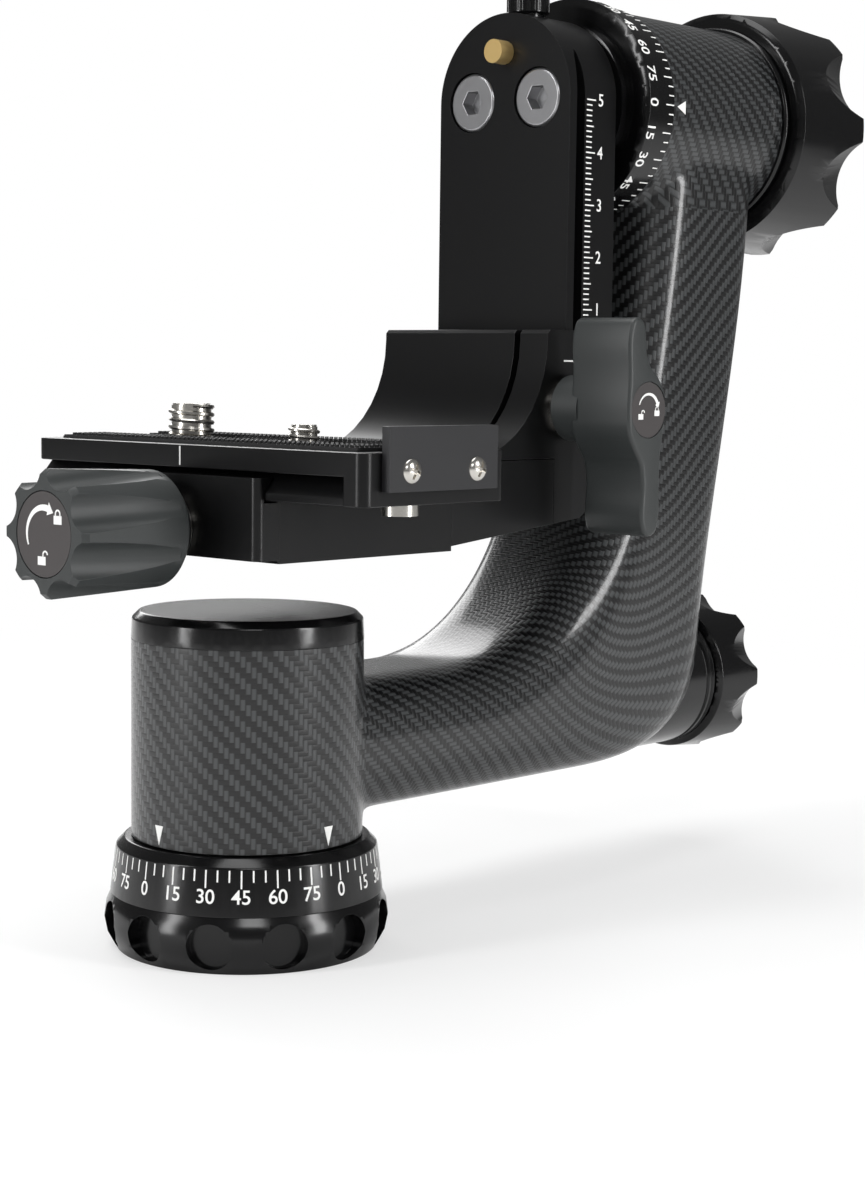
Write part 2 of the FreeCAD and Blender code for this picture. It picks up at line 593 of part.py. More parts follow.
# Quick-release plate
foot_outline = [(-foot_half, plate_bottom), (foot_half, plate_bottom), (foot_half, foot_z),
                (neck_half, slab_z), (-neck_half, slab_z), (-foot_half, foot_z)]
quick = box(-plate_half, plate_half, plate_y0, plate_y1, slab_z, plate_top)
quick = quick.fuse(box(-plate_half, plate_half, plate_y0, plate_y0 + end_block, plate_bottom, slab_z))
quick = quick.removeSplitter()
upright = [e for e in quick.Edges if e.BoundBox.XLength < 0.01 and e.BoundBox.YLength < 0.01]
outer_corners = [e for e in upright if e.CenterOfMass.y - plate_y0 < 0.01 or plate_y1 - e.CenterOfMass.y < 0.01]
quick = quick.makeFillet(2.2, outer_corners)
quick = quick.fuse(plate_xz(foot_outline, plate_y0 + 2, plate_y1))
quick = quick.cut(rod(Z, plate_bottom - 1, plate_top + 1, big_screw_r + run, (0, big_screw_y)))
quick = quick.cut(rod(Z, plate_bottom - 1, plate_top + 1, small_screw_r + run, (0, small_screw_y)))
well = 4.0
for y, r in ((big_screw_y, 7.6), (small_screw_y, 6.6)):
    quick = quick.cut(rod(Z, plate_bottom - 1, plate_bottom + well, r, (0, y)))
pads = []
pad_z = plate_top - 0.5
for x0, x1 in ((-16.4, -6.6), (6.6, 16.4)):
    strip = box(x0, x1, plate_y0 + 4.5, plate_y1 - 4.5, pad_z, plate_top + pad_h)
    quick = quick.cut(strip)
    pads.append(strip)
flange_screws = []
stop_face = plate_y0 - stop_t
stop = box(-flange_half, flange_half, stop_face, plate_y0, flange_z0, flange_z1)
for x in (-flange_screw_x, flange_screw_x):
    place = (x, flange_screw_z)
    quick = quick.cut(rod(Y, plate_y0 - 1, plate_y0 + 6, flange_screw_r, place))
    stop = stop.cut(rod(Y, stop_face - 1, plate_y0 + 1, flange_screw_r, place))
    head = turned(Y, [(stop_face - 1.2, 0), (stop_face - 1.2, 1.6), (stop_face - 0.3, 2.5), (stop_face, 2.6),
                      (stop_face, 0)], place)
    flange_screws.append(head.fuse(rod(Y, stop_face, plate_y0 + 5.5, flange_screw_r, place)))
stop_y = -42.0
quick = quick.cut(rod(Z, plate_bottom - 1, plate_bottom + 5, 1.5, (0, stop_y)))
keep("quick_plate", quick)
keep("plate_pads", *pads)
keep("stop_flange", stop)
keep("flange_screws", *flange_screws)
keep("plate_stop_screw", rod(Z, plate_bottom - 2.6, plate_bottom, 3.6, (0, stop_y)).fuse(
    rod(Z, plate_bottom, plate_bottom + 4.5, 1.5, (0, stop_y))))
thread_low = plate_top + pad_h + gap
for name, y, r, top, head_r in (("large_camera_screw", big_screw_y, big_screw_r, big_screw_top, 7.4),
                                ("small_camera_screw", small_screw_y, small_screw_r, small_screw_top, 6.4)):
    head = rod(Z, plate_bottom + 0.5, plate_bottom + well, head_r, (0, y))
    coin = box(-head_r - 1, head_r + 1, y - 0.8, y + 0.8, plate_bottom, plate_bottom + 2.0)
    shank = rod(Z, plate_bottom + well, thread_low, r - neck_cut, (0, y))
    keep(name, head.cut(coin).fuse(shank).fuse(rod(Z, thread_low, top, r, (0, y))))

os.makedirs("parts", exist_ok=True)
for name, shape in parts.items():
    shape.exportStep("parts/" + name + ".step")
    print(name, len(shape.Solids), round(shape.Volume), shape.isValid())
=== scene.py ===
import math

import bmesh
import bpy
from mathutils import Matrix, Vector


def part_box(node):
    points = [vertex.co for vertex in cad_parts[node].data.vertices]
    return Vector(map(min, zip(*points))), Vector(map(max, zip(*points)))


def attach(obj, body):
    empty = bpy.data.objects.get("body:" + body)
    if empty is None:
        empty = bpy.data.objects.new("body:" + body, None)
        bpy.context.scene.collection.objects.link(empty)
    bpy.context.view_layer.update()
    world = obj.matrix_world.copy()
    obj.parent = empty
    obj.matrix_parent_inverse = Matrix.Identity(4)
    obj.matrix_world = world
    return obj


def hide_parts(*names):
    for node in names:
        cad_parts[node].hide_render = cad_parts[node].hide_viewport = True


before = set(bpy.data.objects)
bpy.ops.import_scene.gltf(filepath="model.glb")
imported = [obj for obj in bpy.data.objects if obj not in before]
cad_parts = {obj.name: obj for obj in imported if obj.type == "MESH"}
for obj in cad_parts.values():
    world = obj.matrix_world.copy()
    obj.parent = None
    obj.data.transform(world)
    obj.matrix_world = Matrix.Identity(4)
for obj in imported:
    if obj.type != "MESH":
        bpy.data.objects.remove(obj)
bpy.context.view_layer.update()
mm = 0.001
print("frame loaded,", len(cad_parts), "nodes")

# Sizes that several pieces share, in millimetres, taken from the frame where it has them
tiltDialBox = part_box("tilt_dial")
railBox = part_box("rail")
armPlace = dict(
    tiltZ=(tiltDialBox[0][2] + tiltDialBox[1][2]) / 2 / mm,
    lockZ=(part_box("pan_lock_knob")[0][2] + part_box("pan_lock_knob")[1][2]) / 2 / mm,
    tubeRadius=23.4, tubeStart=108.5, tubeEnd=151.6,
    housingRadius=23.6, housingLow=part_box("carbon_arm")[0][2] / mm, housingTop=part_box("top_cap")[0][2] / mm + 2.6,
    bossRadius=16.2, bossEnd=138.3,
)


def srgbToLinear(hexCode):
    channels = [int(hexCode[i:i + 2], 16) / 255 for i in (1, 3, 5)]
    return tuple(c / 12.92 if c <= 0.04045 else ((c + 0.055) / 1.055) ** 2.4 for c in channels) + (1.0,)


def addNode(tree, kind, settings=None, inputs=None, links=None):
    # settings are the node's own choices, inputs fixed values, links (socket, where it comes from)
    node = tree.nodes.new(kind)
    for name, value in (settings or {}).items():
        setattr(node, name, value)
    for name, value in (inputs or {}).items():
        node.inputs[name].default_value = value
    for name, source in (links or {}).items():
        tree.links.new(source, node.inputs[name])
    return node


def treeMath(tree, operation, first, second=0.0):
    node = addNode(tree, "ShaderNodeMath", {"operation": operation})
    for socket, value in zip(node.inputs, (first, second)):
        if isinstance(value, (int, float)):
            socket.default_value = value
        else:
            tree.links.new(value, socket)
    return node.outputs[0]


def newFinish(name, colour, roughness, metallic=0.0, extra=None):
    finish = bpy.data.materials.new(name)
    finish.use_nodes = True
    shader = finish.node_tree.nodes["Principled BSDF"]
    shader.inputs["Base Color"].default_value = srgbToLinear(colour)
    shader.inputs["Roughness"].default_value = roughness
    shader.inputs["Metallic"].default_value = metallic
    for socket, value in (extra or {}).items():
        shader.inputs[socket].default_value = value
    return finish


def addGrain(finish, sizeMm, strength, depthMm):
    # a fine bump all over, its grain given in millimetres
    tree = finish.node_tree
    place = addNode(tree, "ShaderNodeTexCoord")
    noise = addNode(tree, "ShaderNodeTexNoise", None, {"Scale": 1 / (sizeMm * mm), "Detail": 2.0},
                    {"Vector": place.outputs["Object"]})
    bump = addNode(tree, "ShaderNodeBump", None, {"Strength": strength, "Distance": depthMm * mm},
                   {"Height": noise.outputs["Fac"]})
    tree.links.new(bump.outputs["Normal"], tree.nodes["Principled BSDF"].inputs["Normal"])


# Bead-blasted aluminium, anodised black: satin, near black, with soft grey highlights
blackAnodised = newFinish("blackAnodisedAluminium", "#0d0d0e", 0.30, 0.3, {"Specular IOR Level": 0.42})
addGrain(blackAnodised, 0.25, 0.12, 0.02)
# Turned aluminium, anodised black: smoother than the blasted pieces, so its highlights are narrow
turnedAnodised = newFinish("turnedAnodisedAluminium", "#0b0b0c", 0.19, 0.3, {"Specular IOR Level": 0.55})
# Nickel-plated steel of the camera screws
nickelSteel = newFinish("nickelPlatedSteel", "#c9c6c0", 0.24, 1.0)
# Grey zinc-plated steel of the two rail screws
zincSteel = newFinish("greyZincPlatedSteel", "#a3a3a5", 0.30, 0.85)
# Machined brass of the safety pin
machinedBrass = newFinish("machinedBrass", "#e6c583", 0.28, 0.7)
# Glass-filled nylon with a fine moulded grain: matte and slightly grey
mouldedNylon = newFinish("mouldedNylon", "#2c2f2f", 0.46)
addGrain(mouldedNylon, 0.5, 0.25, 0.04)
# Punched aluminium disc with a grey coat
greyDisc = newFinish("coatedDisc", "#3a3636", 0.5)
# Powder-coated steel of the stop flange, dark grey
powderCoat = newFinish("powderCoatedSteel", "#242426", 0.42, 0.2)
# Ribbed rubber of the plate's pads
padRubber = newFinish("ribbedRubber", "#1d1d1e", 0.7)
# White printing ink on the dials and the scale
whiteInk = newFinish("whiteInk", "#ececea", 0.55)


def makeCarbonTwill():
    # Carbon-fibre twill under clear resin: 1 mm tows, two over and two under, tows along the
    # weave map's two directions catching light differently, and a glossy coat over them
    finish = newFinish("carbonTwill", "#0d0d0e", 0.42, 0.0,
                       {"Coat Weight": 0.6, "Coat Roughness": 0.14, "Specular IOR Level": 0.25})
    tree = finish.node_tree
    shader = tree.nodes["Principled BSDF"]
    weave = addNode(tree, "ShaderNodeUVMap", {"uv_map": "weave"})
    parts = addNode(tree, "ShaderNodeSeparateXYZ", None, None, {"Vector": weave.outputs["UV"]})

    def maths(operation, first, second=0.0):
        return treeMath(tree, operation, first, second)

    column = maths("FLOOR", parts.outputs["X"])
    row = maths("FLOOR", parts.outputs["Y"])
    turn = maths("FLOORED_MODULO", maths("ADD", column, row), 4.0)
    over = maths("LESS_THAN", turn, 1.5)                      # 1 where the lengthwise tow is on top
    across = maths("ABSOLUTE", maths("SUBTRACT", maths("FRACT", parts.outputs["X"]), 0.5))
    along = maths("ABSOLUTE", maths("SUBTRACT", maths("FRACT", parts.outputs["Y"]), 0.5))
    under = maths("SUBTRACT", 1.0, over)
    edge = maths("ADD", maths("MULTIPLY", over, across), maths("MULTIPLY", under, along))
    crown = maths("SUBTRACT", 1.0, maths("POWER", maths("MULTIPLY", edge, 2.0), 3.0))
    # painted sheen: the tow on top is painted lighter than the tow under it, standing in for the light the two
    # directions catch differently
    paintedTowSheen = addNode(tree, "ShaderNodeMix", {"data_type": "RGBA"}, None, {"Factor": over})
    paintedTowSheen.inputs[6].default_value = srgbToLinear("#09090a")
    paintedTowSheen.inputs[7].default_value = srgbToLinear("#3b3d3e")
    # painted shade: each tow is painted darker towards its edges, where it curves down beside its neighbours
    paintedTowEdgeShade = addNode(tree, "ShaderNodeMix", {"data_type": "RGBA"}, None, {"Factor": crown})
    paintedTowEdgeShade.inputs[6].default_value = srgbToLinear("#040405")
    tree.links.new(paintedTowSheen.outputs[2], paintedTowEdgeShade.inputs[7])
    tree.links.new(paintedTowEdgeShade.outputs[2], shader.inputs["Base Color"])
    bump = addNode(tree, "ShaderNodeBump", None, {"Strength": 0.5, "Distance": 0.14 * mm}, {"Height": crown})
    tree.links.new(bump.outputs["Normal"], shader.inputs["Normal"])
    return finish


carbonTwill = makeCarbonTwill()
print("finishes ready")


# Ways of making and keeping pieces

def keepPiece(name, mesh, finish, body, replaced=()):
    piece = bpy.data.objects.new(name, mesh)
    bpy.context.scene.collection.objects.link(piece)
    mesh.materials.clear()
    mesh.materials.append(finish)
    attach(piece, body)
    for node in replaced:
        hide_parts(node)
    return piece


def meshFrom(points, faces, scale=mm):
    mesh = bpy.data.meshes.new("outline")
    mesh.from_pydata([tuple(c * scale for c in p) for p in points], [], faces)
    mesh.update()
    return mesh


def bakedMesh(piece):
    # the piece's mesh with its modifiers applied; the piece itself is removed
    depsgraph = bpy.context.evaluated_depsgraph_get()
    mesh = bpy.data.meshes.new_from_object(piece.evaluated_get(depsgraph), depsgraph=depsgraph)
    bpy.data.objects.remove(piece, do_unlink=True)
    return mesh


def looseObject(mesh):
    piece = bpy.data.objects.new("working", mesh)
    bpy.context.scene.collection.objects.link(piece)
    return piece


def finishShape(shape, mesh=None):
    # the bmesh written into this mesh, or into a new one
    mesh = mesh or bpy.data.meshes.new("shape")
    shape.to_mesh(mesh)
    shape.free()
    return mesh


def joinMeshes(meshes):
    joined = bmesh.new()
    for mesh in meshes:
        joined.from_mesh(mesh)
    return finishShape(joined)


def primitive(build, place, edgeMm=0.0, **settings):
    # one of bmesh's own shapes, put in its place by a matrix, its edges eased if a width is given
    shape = bmesh.new()
    build(shape, **settings)
    bmesh.ops.transform(shape, matrix=place, verts=shape.verts)
    if edgeMm > 0:
        bmesh.ops.bevel(shape, geom=shape.edges[:], offset=edgeMm * mm, segments=2, affect="EDGES")
    return finishShape(shape)


def cubePlace(middle, size, turn=Matrix.Identity(4)):
    # the matrix that makes a unit cube or ball this size, there, in millimetres
    return Matrix.Translation(Vector(middle) * mm) @ turn @ Matrix.Diagonal([length * mm for length in size] + [1])


def cylinderMesh(axis, start, end, radius, centre, sides=96):
    # axis is "X", "Y" or "Z"; centre is the place across it, all in millimetres
    middle = (start + end) / 2
    turn = {"X": Matrix.Rotation(math.pi / 2, 4, "Y"), "Y": Matrix.Rotation(-math.pi / 2, 4, "X"),
            "Z": Matrix.Identity(4)}[axis]
    place = {"X": (middle, centre[0], centre[1]), "Y": (centre[0], middle, centre[1]),
             "Z": (centre[0], centre[1], middle)}[axis]
    return primitive(bmesh.ops.create_cone, Matrix.Translation(Vector(place) * mm) @ turn, cap_ends=True,
                     segments=sides, radius1=radius * mm, radius2=radius * mm, depth=(end - start) * mm)


def facedOutwards(mesh, weldMm=0.0):
    # the mesh with its normals recalculated, its doubles merged first if a distance is given
    shape = bmesh.new()
    shape.from_mesh(mesh)
    if weldMm > 0:
        bmesh.ops.remove_doubles(shape, verts=shape.verts, dist=weldMm * mm)
    bmesh.ops.recalc_face_normals(shape, faces=shape.faces)
    return finishShape(shape, mesh)


def smoothed(mesh, sharpDegrees):
    mesh.shade_smooth()
    mesh.set_sharp_from_angle(angle=math.radians(sharpDegrees))
    return mesh


def cutMesh(mesh, cutters):
    # the mesh with the cutters taken out of it
    piece = looseObject(mesh)
    tools = [looseObject(cutter) for cutter in cutters]
    for tool in tools:
        cut = piece.modifiers.new("cut", "BOOLEAN")
        cut.object = tool
        cut.operation = "DIFFERENCE"
        cut.solver = "EXACT"
    result = bakedMesh(piece)
    for tool in tools:
        bpy.data.objects.remove(tool, do_unlink=True)
    return result


# Degrees between faces that merge and that count as sharp; the shortest eased edge is a share of the easing
easing = dict(weldMm=0.002, flat=0.6, sharp=32, shortest=0.4)


def weldedShape(nodeName):
    # a CAD node's mesh with its doubles merged
    shape = bmesh.new()
    shape.from_mesh(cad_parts[nodeName].data)
    bmesh.ops.remove_doubles(shape, verts=shape.verts, dist=easing["weldMm"] * mm)
    return shape


def machined(nodeName, finish, body, edgeMm):
    # A CAD node's copy with eased edges, so that corners catch light as broken edges do
    shape = weldedShape(nodeName)
    bmesh.ops.dissolve_limit(shape, angle_limit=math.radians(easing["flat"]), verts=shape.verts,
                             edges=shape.edges)
    if edgeMm > 0:
        sharp, shortest = math.radians(easing["sharp"]), edgeMm * easing["shortest"] * mm
        corners = [e for e in shape.edges if len(e.link_faces) == 2 and e.calc_face_angle(0) > sharp
                   and e.calc_length() > shortest]
        bmesh.ops.bevel(shape, geom=corners, offset=edgeMm * mm, segments=2, profile=0.5, affect="EDGES",
                        clamp_overlap=True)
    mesh = smoothed(finishShape(shape), easing["sharp"])
    name = nodeName.replace("_", "-") + "-finished"
    piece = keepPiece(name, mesh, finish, body, [nodeName])
    level = piece.modifiers.new("level", "WEIGHTED_NORMAL")
    level.keep_sharp = True


def refinish(nodeName, finish):
    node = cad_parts[nodeName]
    node.data.materials.clear()
    node.data.materials.append(finish)


# The carbon arm: the CAD arm's outside with soft concave fillets where its tubes meet

armFinish = dict(voxelMm=0.9, smoothing=26, towMm=1.05, extra=4.0, sharp=40, bossInside=20,
                 trimRadii=dict(housingLow=26, housingTop=25, tubeStart=24.6, tubeEnd=25, boss=18))
# where the weave map changes from the arm's line to the housing, the tilt tube or the elbow's boss
weaveRegion = dict(housingBand=0.9, tubeBand=1.5, tubeHalf=24, bossStart=134.6, bossAbove=17)


# The arm's middle line in X and Z, from the pan axis to the tilt tube, and about how many points it takes
armMiddle = dict(knots=[(0, 40.0), (60, 40.0), (96, 44), (118, 70), (124, 112), (130, 166)], points=160)


def armCentre():
    knots = armMiddle["knots"]
    curve = bpy.data.curves.new("armMiddle", "CURVE")
    spline = curve.splines.new("NURBS")
    spline.points.add(len(knots) - 1)
    for point, (x, z) in zip(spline.points, knots):
        point.co = (x, 0, z, 1)
    spline.order_u = 3
    spline.use_endpoint_u = True
    spline.resolution_u = armMiddle["points"] // len(knots)
    curve.dimensions = "3D"
    holder = bpy.data.objects.new("armMiddle", curve)
    line = bpy.data.meshes.new_from_object(holder)
    points = [v.co.copy() for v in line.vertices]
    bpy.data.objects.remove(holder, do_unlink=True)
    return points


def mapWeave(mesh):
    # The weave map: along the arm and round it, in tows, wrapped to a whole number of tows
    middle = armCentre()
    lengths = [0.0]
    for a, b in zip(middle, middle[1:]):
        lengths.append(lengths[-1] + (b - a).length)
    tow = armFinish["towMm"]
    around = 4 * round(2 * math.pi * armPlace["housingRadius"] / tow / 4)
    tubeLow = armPlace["tiltZ"] - armPlace["tubeRadius"] + weaveRegion["tubeBand"]

    def weaveAt(point, region):
        if region == "housing":
            return math.atan2(point.y, point.x), point.z / tow
        if region == "tube":
            return math.atan2(point.y, point.z - armPlace["tiltZ"]), point.x / tow
        if region == "boss":
            return math.atan2(point.y, point.z - armPlace["lockZ"]), point.x / tow
        flat = Vector((point.x, 0, point.z))
        best = min(range(len(middle) - 1), key=lambda i: (middle[i] - flat).length_squared)
        way = (middle[best + 1] - middle[best]).normalized()
        offset = flat - middle[best]
        side = way.x * offset.z - way.z * offset.x
        return math.atan2(point.y, side), (lengths[best] + offset.dot(way)) / tow

    layer = mesh.uv_layers.new(name="weave")
    corners = [v.co / mm for v in mesh.vertices]
    known = {}
    for face in mesh.polygons:
        centre = face.center / mm
        flatDistance = math.hypot(centre.x, centre.y)
        if flatDistance < armPlace["housingRadius"] + weaveRegion["housingBand"]:
            region = "housing"
        elif centre.z > tubeLow and abs(centre.y) < weaveRegion["tubeHalf"]:
            region = "tube"
        elif centre.x > weaveRegion["bossStart"] and centre.z < armPlace["lockZ"] + weaveRegion["bossAbove"]:
            region = "boss"
        else:
            region = "arm"
        first = None
        for loop in face.loop_indices:
            vertex = mesh.loops[loop].vertex_index
            key = (vertex, region)
            if key not in known:
                known[key] = weaveAt(corners[vertex], region)
            angle, along = known[key]
            if first is None:
                first = angle
            while angle - first > math.pi:
                angle -= 2 * math.pi
            while angle - first < -math.pi:
                angle += 2 * math.pi
            layer.data[loop].uv = (angle / (2 * math.pi) * around, along)


def makeCarbonArm():
    place = armPlace
    tilt = (0, place["tiltZ"])
    lock = (0, place["lockZ"])
    extra = armFinish["extra"]
    outer = finishShape(weldedShape("carbon_arm"))
    plugs = [cylinderMesh("Z", place["housingLow"] - extra, place["housingTop"] + extra, place["housingRadius"],
                          (0, 0)),
             cylinderMesh("X", place["tubeStart"] - extra, place["tubeEnd"] + extra, place["tubeRadius"], tilt),
             cylinderMesh("X", place["bossEnd"] - armFinish["bossInside"], place["bossEnd"] + extra,
                          place["bossRadius"], lock)]
    piece = looseObject(joinMeshes([outer] + plugs))
    blend = piece.modifiers.new("oneSkin", "REMESH")
    blend.mode = "VOXEL"
    blend.voxel_size = armFinish["voxelMm"] * mm
    soften = piece.modifiers.new("fillets", "SMOOTH")
    soften.factor = 0.5
    soften.iterations = armFinish["smoothing"]
    skin = bakedMesh(piece)
    reach = extra + 3
    trim = armFinish["trimRadii"]
    cutters = [cylinderMesh("Z", place["housingLow"] - reach, place["housingLow"], trim["housingLow"], (0, 0)),
               cylinderMesh("Z", place["housingTop"], place["housingTop"] + reach, trim["housingTop"], (0, 0)),
               cylinderMesh("X", place["tubeStart"] - reach, place["tubeStart"], trim["tubeStart"], tilt),
               cylinderMesh("X", place["tubeEnd"], place["tubeEnd"] + reach, trim["tubeEnd"], tilt),
               cylinderMesh("X", place["bossEnd"], place["bossEnd"] + reach, trim["boss"], lock)]
    mesh = smoothed(cutMesh(skin, cutters), armFinish["sharp"])
    mapWeave(mesh)
    print("carbon arm", len(mesh.polygons), "faces")
    keepPiece("carbon-arm-shell", mesh, carbonTwill, "arm", ["carbon_arm"])


makeCarbonArm()


# Geometry Nodes trees for what repeats

def startTree(name, sockets):
    # a tree and its inputs: these, whole numbers or decimals as their defaults are, and a finish
    tree = bpy.data.node_groups.new(name, "GeometryNodeTree")
    for socketName, value in sockets.items():
        kind = "NodeSocketInt" if isinstance(value, int) else "NodeSocketFloat"
        tree.interface.new_socket(name=socketName, in_out="INPUT", socket_type=kind).default_value = value
    tree.interface.new_socket(name="Finish", in_out="INPUT", socket_type="NodeSocketMaterial")
    tree.interface.new_socket(name="Geometry", in_out="OUTPUT", socket_type="NodeSocketGeometry")
    return tree, addNode(tree, "NodeGroupInput").outputs


def endTree(tree, geometry, finish):
    real = addNode(tree, "GeometryNodeRealizeInstances", None, None, {"Geometry": geometry})
    coat = addNode(tree, "GeometryNodeSetMaterial", None, None,
                   {"Geometry": real.outputs["Geometry"], "Material": finish})
    addNode(tree, "NodeGroupOutput", None, None, {"Geometry": coat.outputs["Geometry"]})


def vectorOf(tree, parts):
    # the vector of these linked parts, X, Y and Z
    return addNode(tree, "ShaderNodeCombineXYZ", None, None, parts).outputs["Vector"]


def putOn(tree, points, instance, **links):
    # the instance put on each of the points
    return addNode(tree, "GeometryNodeInstanceOnPoints", None, None,
                   {"Points": points, "Instance": instance, **links}).outputs["Instances"]


def rowOf(tree, count, step):
    # a row of points, one step apart
    return addNode(tree, "GeometryNodeMeshLine", {"mode": "OFFSET"}, None,
                   {"Count": count, "Offset": step}).outputs["Mesh"]


def blockOf(tree, size):
    return addNode(tree, "GeometryNodeMeshCube", None, {"Vertices X": 2, "Vertices Y": 2, "Vertices Z": 2},
                   {"Size": size}).outputs["Mesh"]


def runTree(tree, values):
    # a plain mesh made by the tree with these named values
    piece = looseObject(bpy.data.meshes.new("seed"))
    maker = piece.modifiers.new("maker", "NODES")
    maker.node_group = tree
    identifiers = {item.name: item.identifier for item in tree.interface.items_tree
                   if item.item_type == "SOCKET" and item.in_out == "INPUT"}
    for name, value in values.items():
        maker[identifiers[name]] = value
    piece.update_tag()
    return bakedMesh(piece)


def tickRowTree():
    # Marks along X: every LongEvery-th mark is long, every MiddleEvery-th middling, and each
    # mark hangs down from Y = 0
    tree, given = startTree("tickRow", dict(Count=10, Spacing=1.0, Line=0.2, Short=2.0, Middle=2.5, Long=3.0,
                                            LongEvery=10.0, MiddleEvery=5.0, Height=0.1))
    row = rowOf(tree, given["Count"], vectorOf(tree, {"X": given["Spacing"]}))
    index = addNode(tree, "GeometryNodeInputIndex").outputs["Index"]
    isLong = treeMath(tree, "LESS_THAN", treeMath(tree, "FLOORED_MODULO", index, given["LongEvery"]), 0.5)
    isMiddle = treeMath(tree, "LESS_THAN", treeMath(tree, "FLOORED_MODULO", index, given["MiddleEvery"]), 0.5)
    middling = treeMath(tree, "MULTIPLY", isMiddle, treeMath(tree, "SUBTRACT", given["Middle"], given["Short"]))
    base = treeMath(tree, "ADD", given["Short"], middling)
    rest = treeMath(tree, "SUBTRACT", given["Long"], base)
    length = treeMath(tree, "ADD", base, treeMath(tree, "MULTIPLY", isLong, rest))
    unit = addNode(tree, "GeometryNodeMeshCube", None, {"Size": (1, 1, 1), "Vertices X": 2, "Vertices Y": 8})
    hang = addNode(tree, "GeometryNodeTransform", None, {"Translation": (0, -0.5, 0.0)},
                   {"Geometry": unit.outputs["Mesh"]})
    size = vectorOf(tree, {"X": given["Line"], "Y": length, "Z": given["Height"]})
    endTree(tree, putOn(tree, row, hang.outputs["Geometry"], Scale=size), given["Finish"])
    return tree


def ribGridTree():
    # Raised ribs in Rows rows across X, Spacing apart along Y, from Y = 0
    tree, given = startTree("ribGrid", dict(Rows=10, Spacing=1.0, Width=8.0, Thickness=0.5, Height=0.4, Columns=8,
                                            ColumnSpacing=1.0, Lean=0.6))
    rows = rowOf(tree, given["Rows"], vectorOf(tree, {"Y": given["Spacing"]}))
    columns = rowOf(tree, given["Columns"], vectorOf(tree, {"X": given["ColumnSpacing"]}))
    bead = blockOf(tree, vectorOf(tree, {"X": given["Width"], "Y": given["Thickness"], "Z": given["Height"]}))
    oneRow = putOn(tree, columns, bead, Rotation=vectorOf(tree, {"Z": given["Lean"]}))
    endTree(tree, putOn(tree, rows, oneRow), given["Finish"])
    return tree


def threadTree():
    # A screw thread: a round-nosed ridge wound up a helix
    tree, given = startTree("screwThread", dict(Radius=4.0, Pitch=1.5, Length=8.0, Ridge=0.5))
    turns = treeMath(tree, "DIVIDE", given["Length"], given["Pitch"])
    helix = addNode(tree, "GeometryNodeCurveSpiral", None, {"Resolution": 40},
                    {"Rotations": turns, "Start Radius": given["Radius"], "End Radius": given["Radius"],
                     "Height": given["Length"]})
    section = addNode(tree, "GeometryNodeCurvePrimitiveCircle", {"mode": "RADIUS"}, {"Resolution": 6},
                      {"Radius": given["Ridge"]})
    ridge = addNode(tree, "GeometryNodeCurveToMesh", None, {"Fill Caps": True},
                    {"Curve": helix.outputs["Curve"], "Profile Curve": section.outputs["Curve"]})
    endTree(tree, ridge.outputs["Mesh"], given["Finish"])
    return tree


def ridgeRingTree():
    # Upright ridges round a ring, as knurling leaves them
    tree, given = startTree("ridgeRing", dict(Count=30, Radius=4.0, Width=0.4, Length=4.0))
    ring = addNode(tree, "GeometryNodeMeshCircle", None, None,
                   {"Vertices": given["Count"], "Radius": given["Radius"]})
    bar = blockOf(tree, vectorOf(tree, {"X": given["Width"], "Y": given["Width"], "Z": given["Length"]}))
    index = addNode(tree, "GeometryNodeInputIndex").outputs["Index"]
    share = treeMath(tree, "DIVIDE", index, given["Count"])
    angle = treeMath(tree, "ADD", treeMath(tree, "MULTIPLY", share, 2 * math.pi), math.pi / 4)
    bars = putOn(tree, ring.outputs["Mesh"], bar, Rotation=vectorOf(tree, {"Z": angle}))
    endTree(tree, bars, given["Finish"])
    return tree


tickRow = tickRowTree()
ribGrid = ribGridTree()
screwThread = threadTree()
ridgeRing = ridgeRingTree()
print("trees ready")


# Printing: flat meshes in X and Y millimetres, then laid on the surface they are printed on

printing = dict(inkMm=0.10, numberMm=2.75, sizePerHeight=1.42, boldness=0.012, sinkMm=0.02)


def textMesh(words, heightMm):
    # upright text, centred, in millimetres
    curve = bpy.data.curves.new("print", "FONT")
    curve.body = words
    curve.size = heightMm * printing["sizePerHeight"]
    curve.align_x = "CENTER"
    curve.align_y = "CENTER"
    curve.extrude = printing["inkMm"] / 2
    curve.offset = heightMm * printing["boldness"]
    holder = bpy.data.objects.new("print", curve)
    mesh = bpy.data.meshes.new_from_object(holder)
    bpy.data.objects.remove(holder, do_unlink=True)
    return mesh


def flatShape(points):
    # a printed outline with the ink's thickness, points anticlockwise in X and Y
    half = printing["inkMm"] / 2
    count = len(points)
    low = [(x, y, -half) for x, y in points]
    high = [(x, y, half) for x, y in points]
    sides = [(i, (i + 1) % count, count + (i + 1) % count, count + i) for i in range(count)]
    faces = [tuple(reversed(range(count))), tuple(range(count, 2 * count))] + sides
    return meshFrom(low + high, faces, 1.0)


def barShape(left, low, right, high):
    return flatShape([(left, low), (right, low), (right, high), (left, high)])


def markerShape(half, length):
    return flatShape([(-half, length), (0, 0), (half, length)])


def moved(mesh, x, y):
    mesh.transform(Matrix.Translation((x, y, 0)))
    return mesh


def layOn(mesh, surface):
    # surface(x, y, z) gives the place, in millimetres, of a printed point
    for vertex in mesh.vertices:
        vertex.co = Vector(surface(*vertex.co)) * mm
    mesh.update()
    return facedOutwards(mesh)


def dialTicks(p, girth):
    return runTree(tickRow, {"Count": p["tickCount"], "Spacing": girth / p["tickCount"], "Line": p["line"],
                             "Short": p["short"], "Middle": p["short"], "Long": p["long"], "LongEvery": 3.0,
                             "MiddleEvery": 3.0, "Height": printing["inkMm"], "Finish": whiteInk})


def dialNumbers(p, girth, y):
    # 0 to 75, four times over the girth
    return joinMeshes([moved(textMesh(str(degrees % 90), printing["numberMm"]), girth * degrees / 360, y)
                       for degrees in range(0, 360, p["numberStep"])])


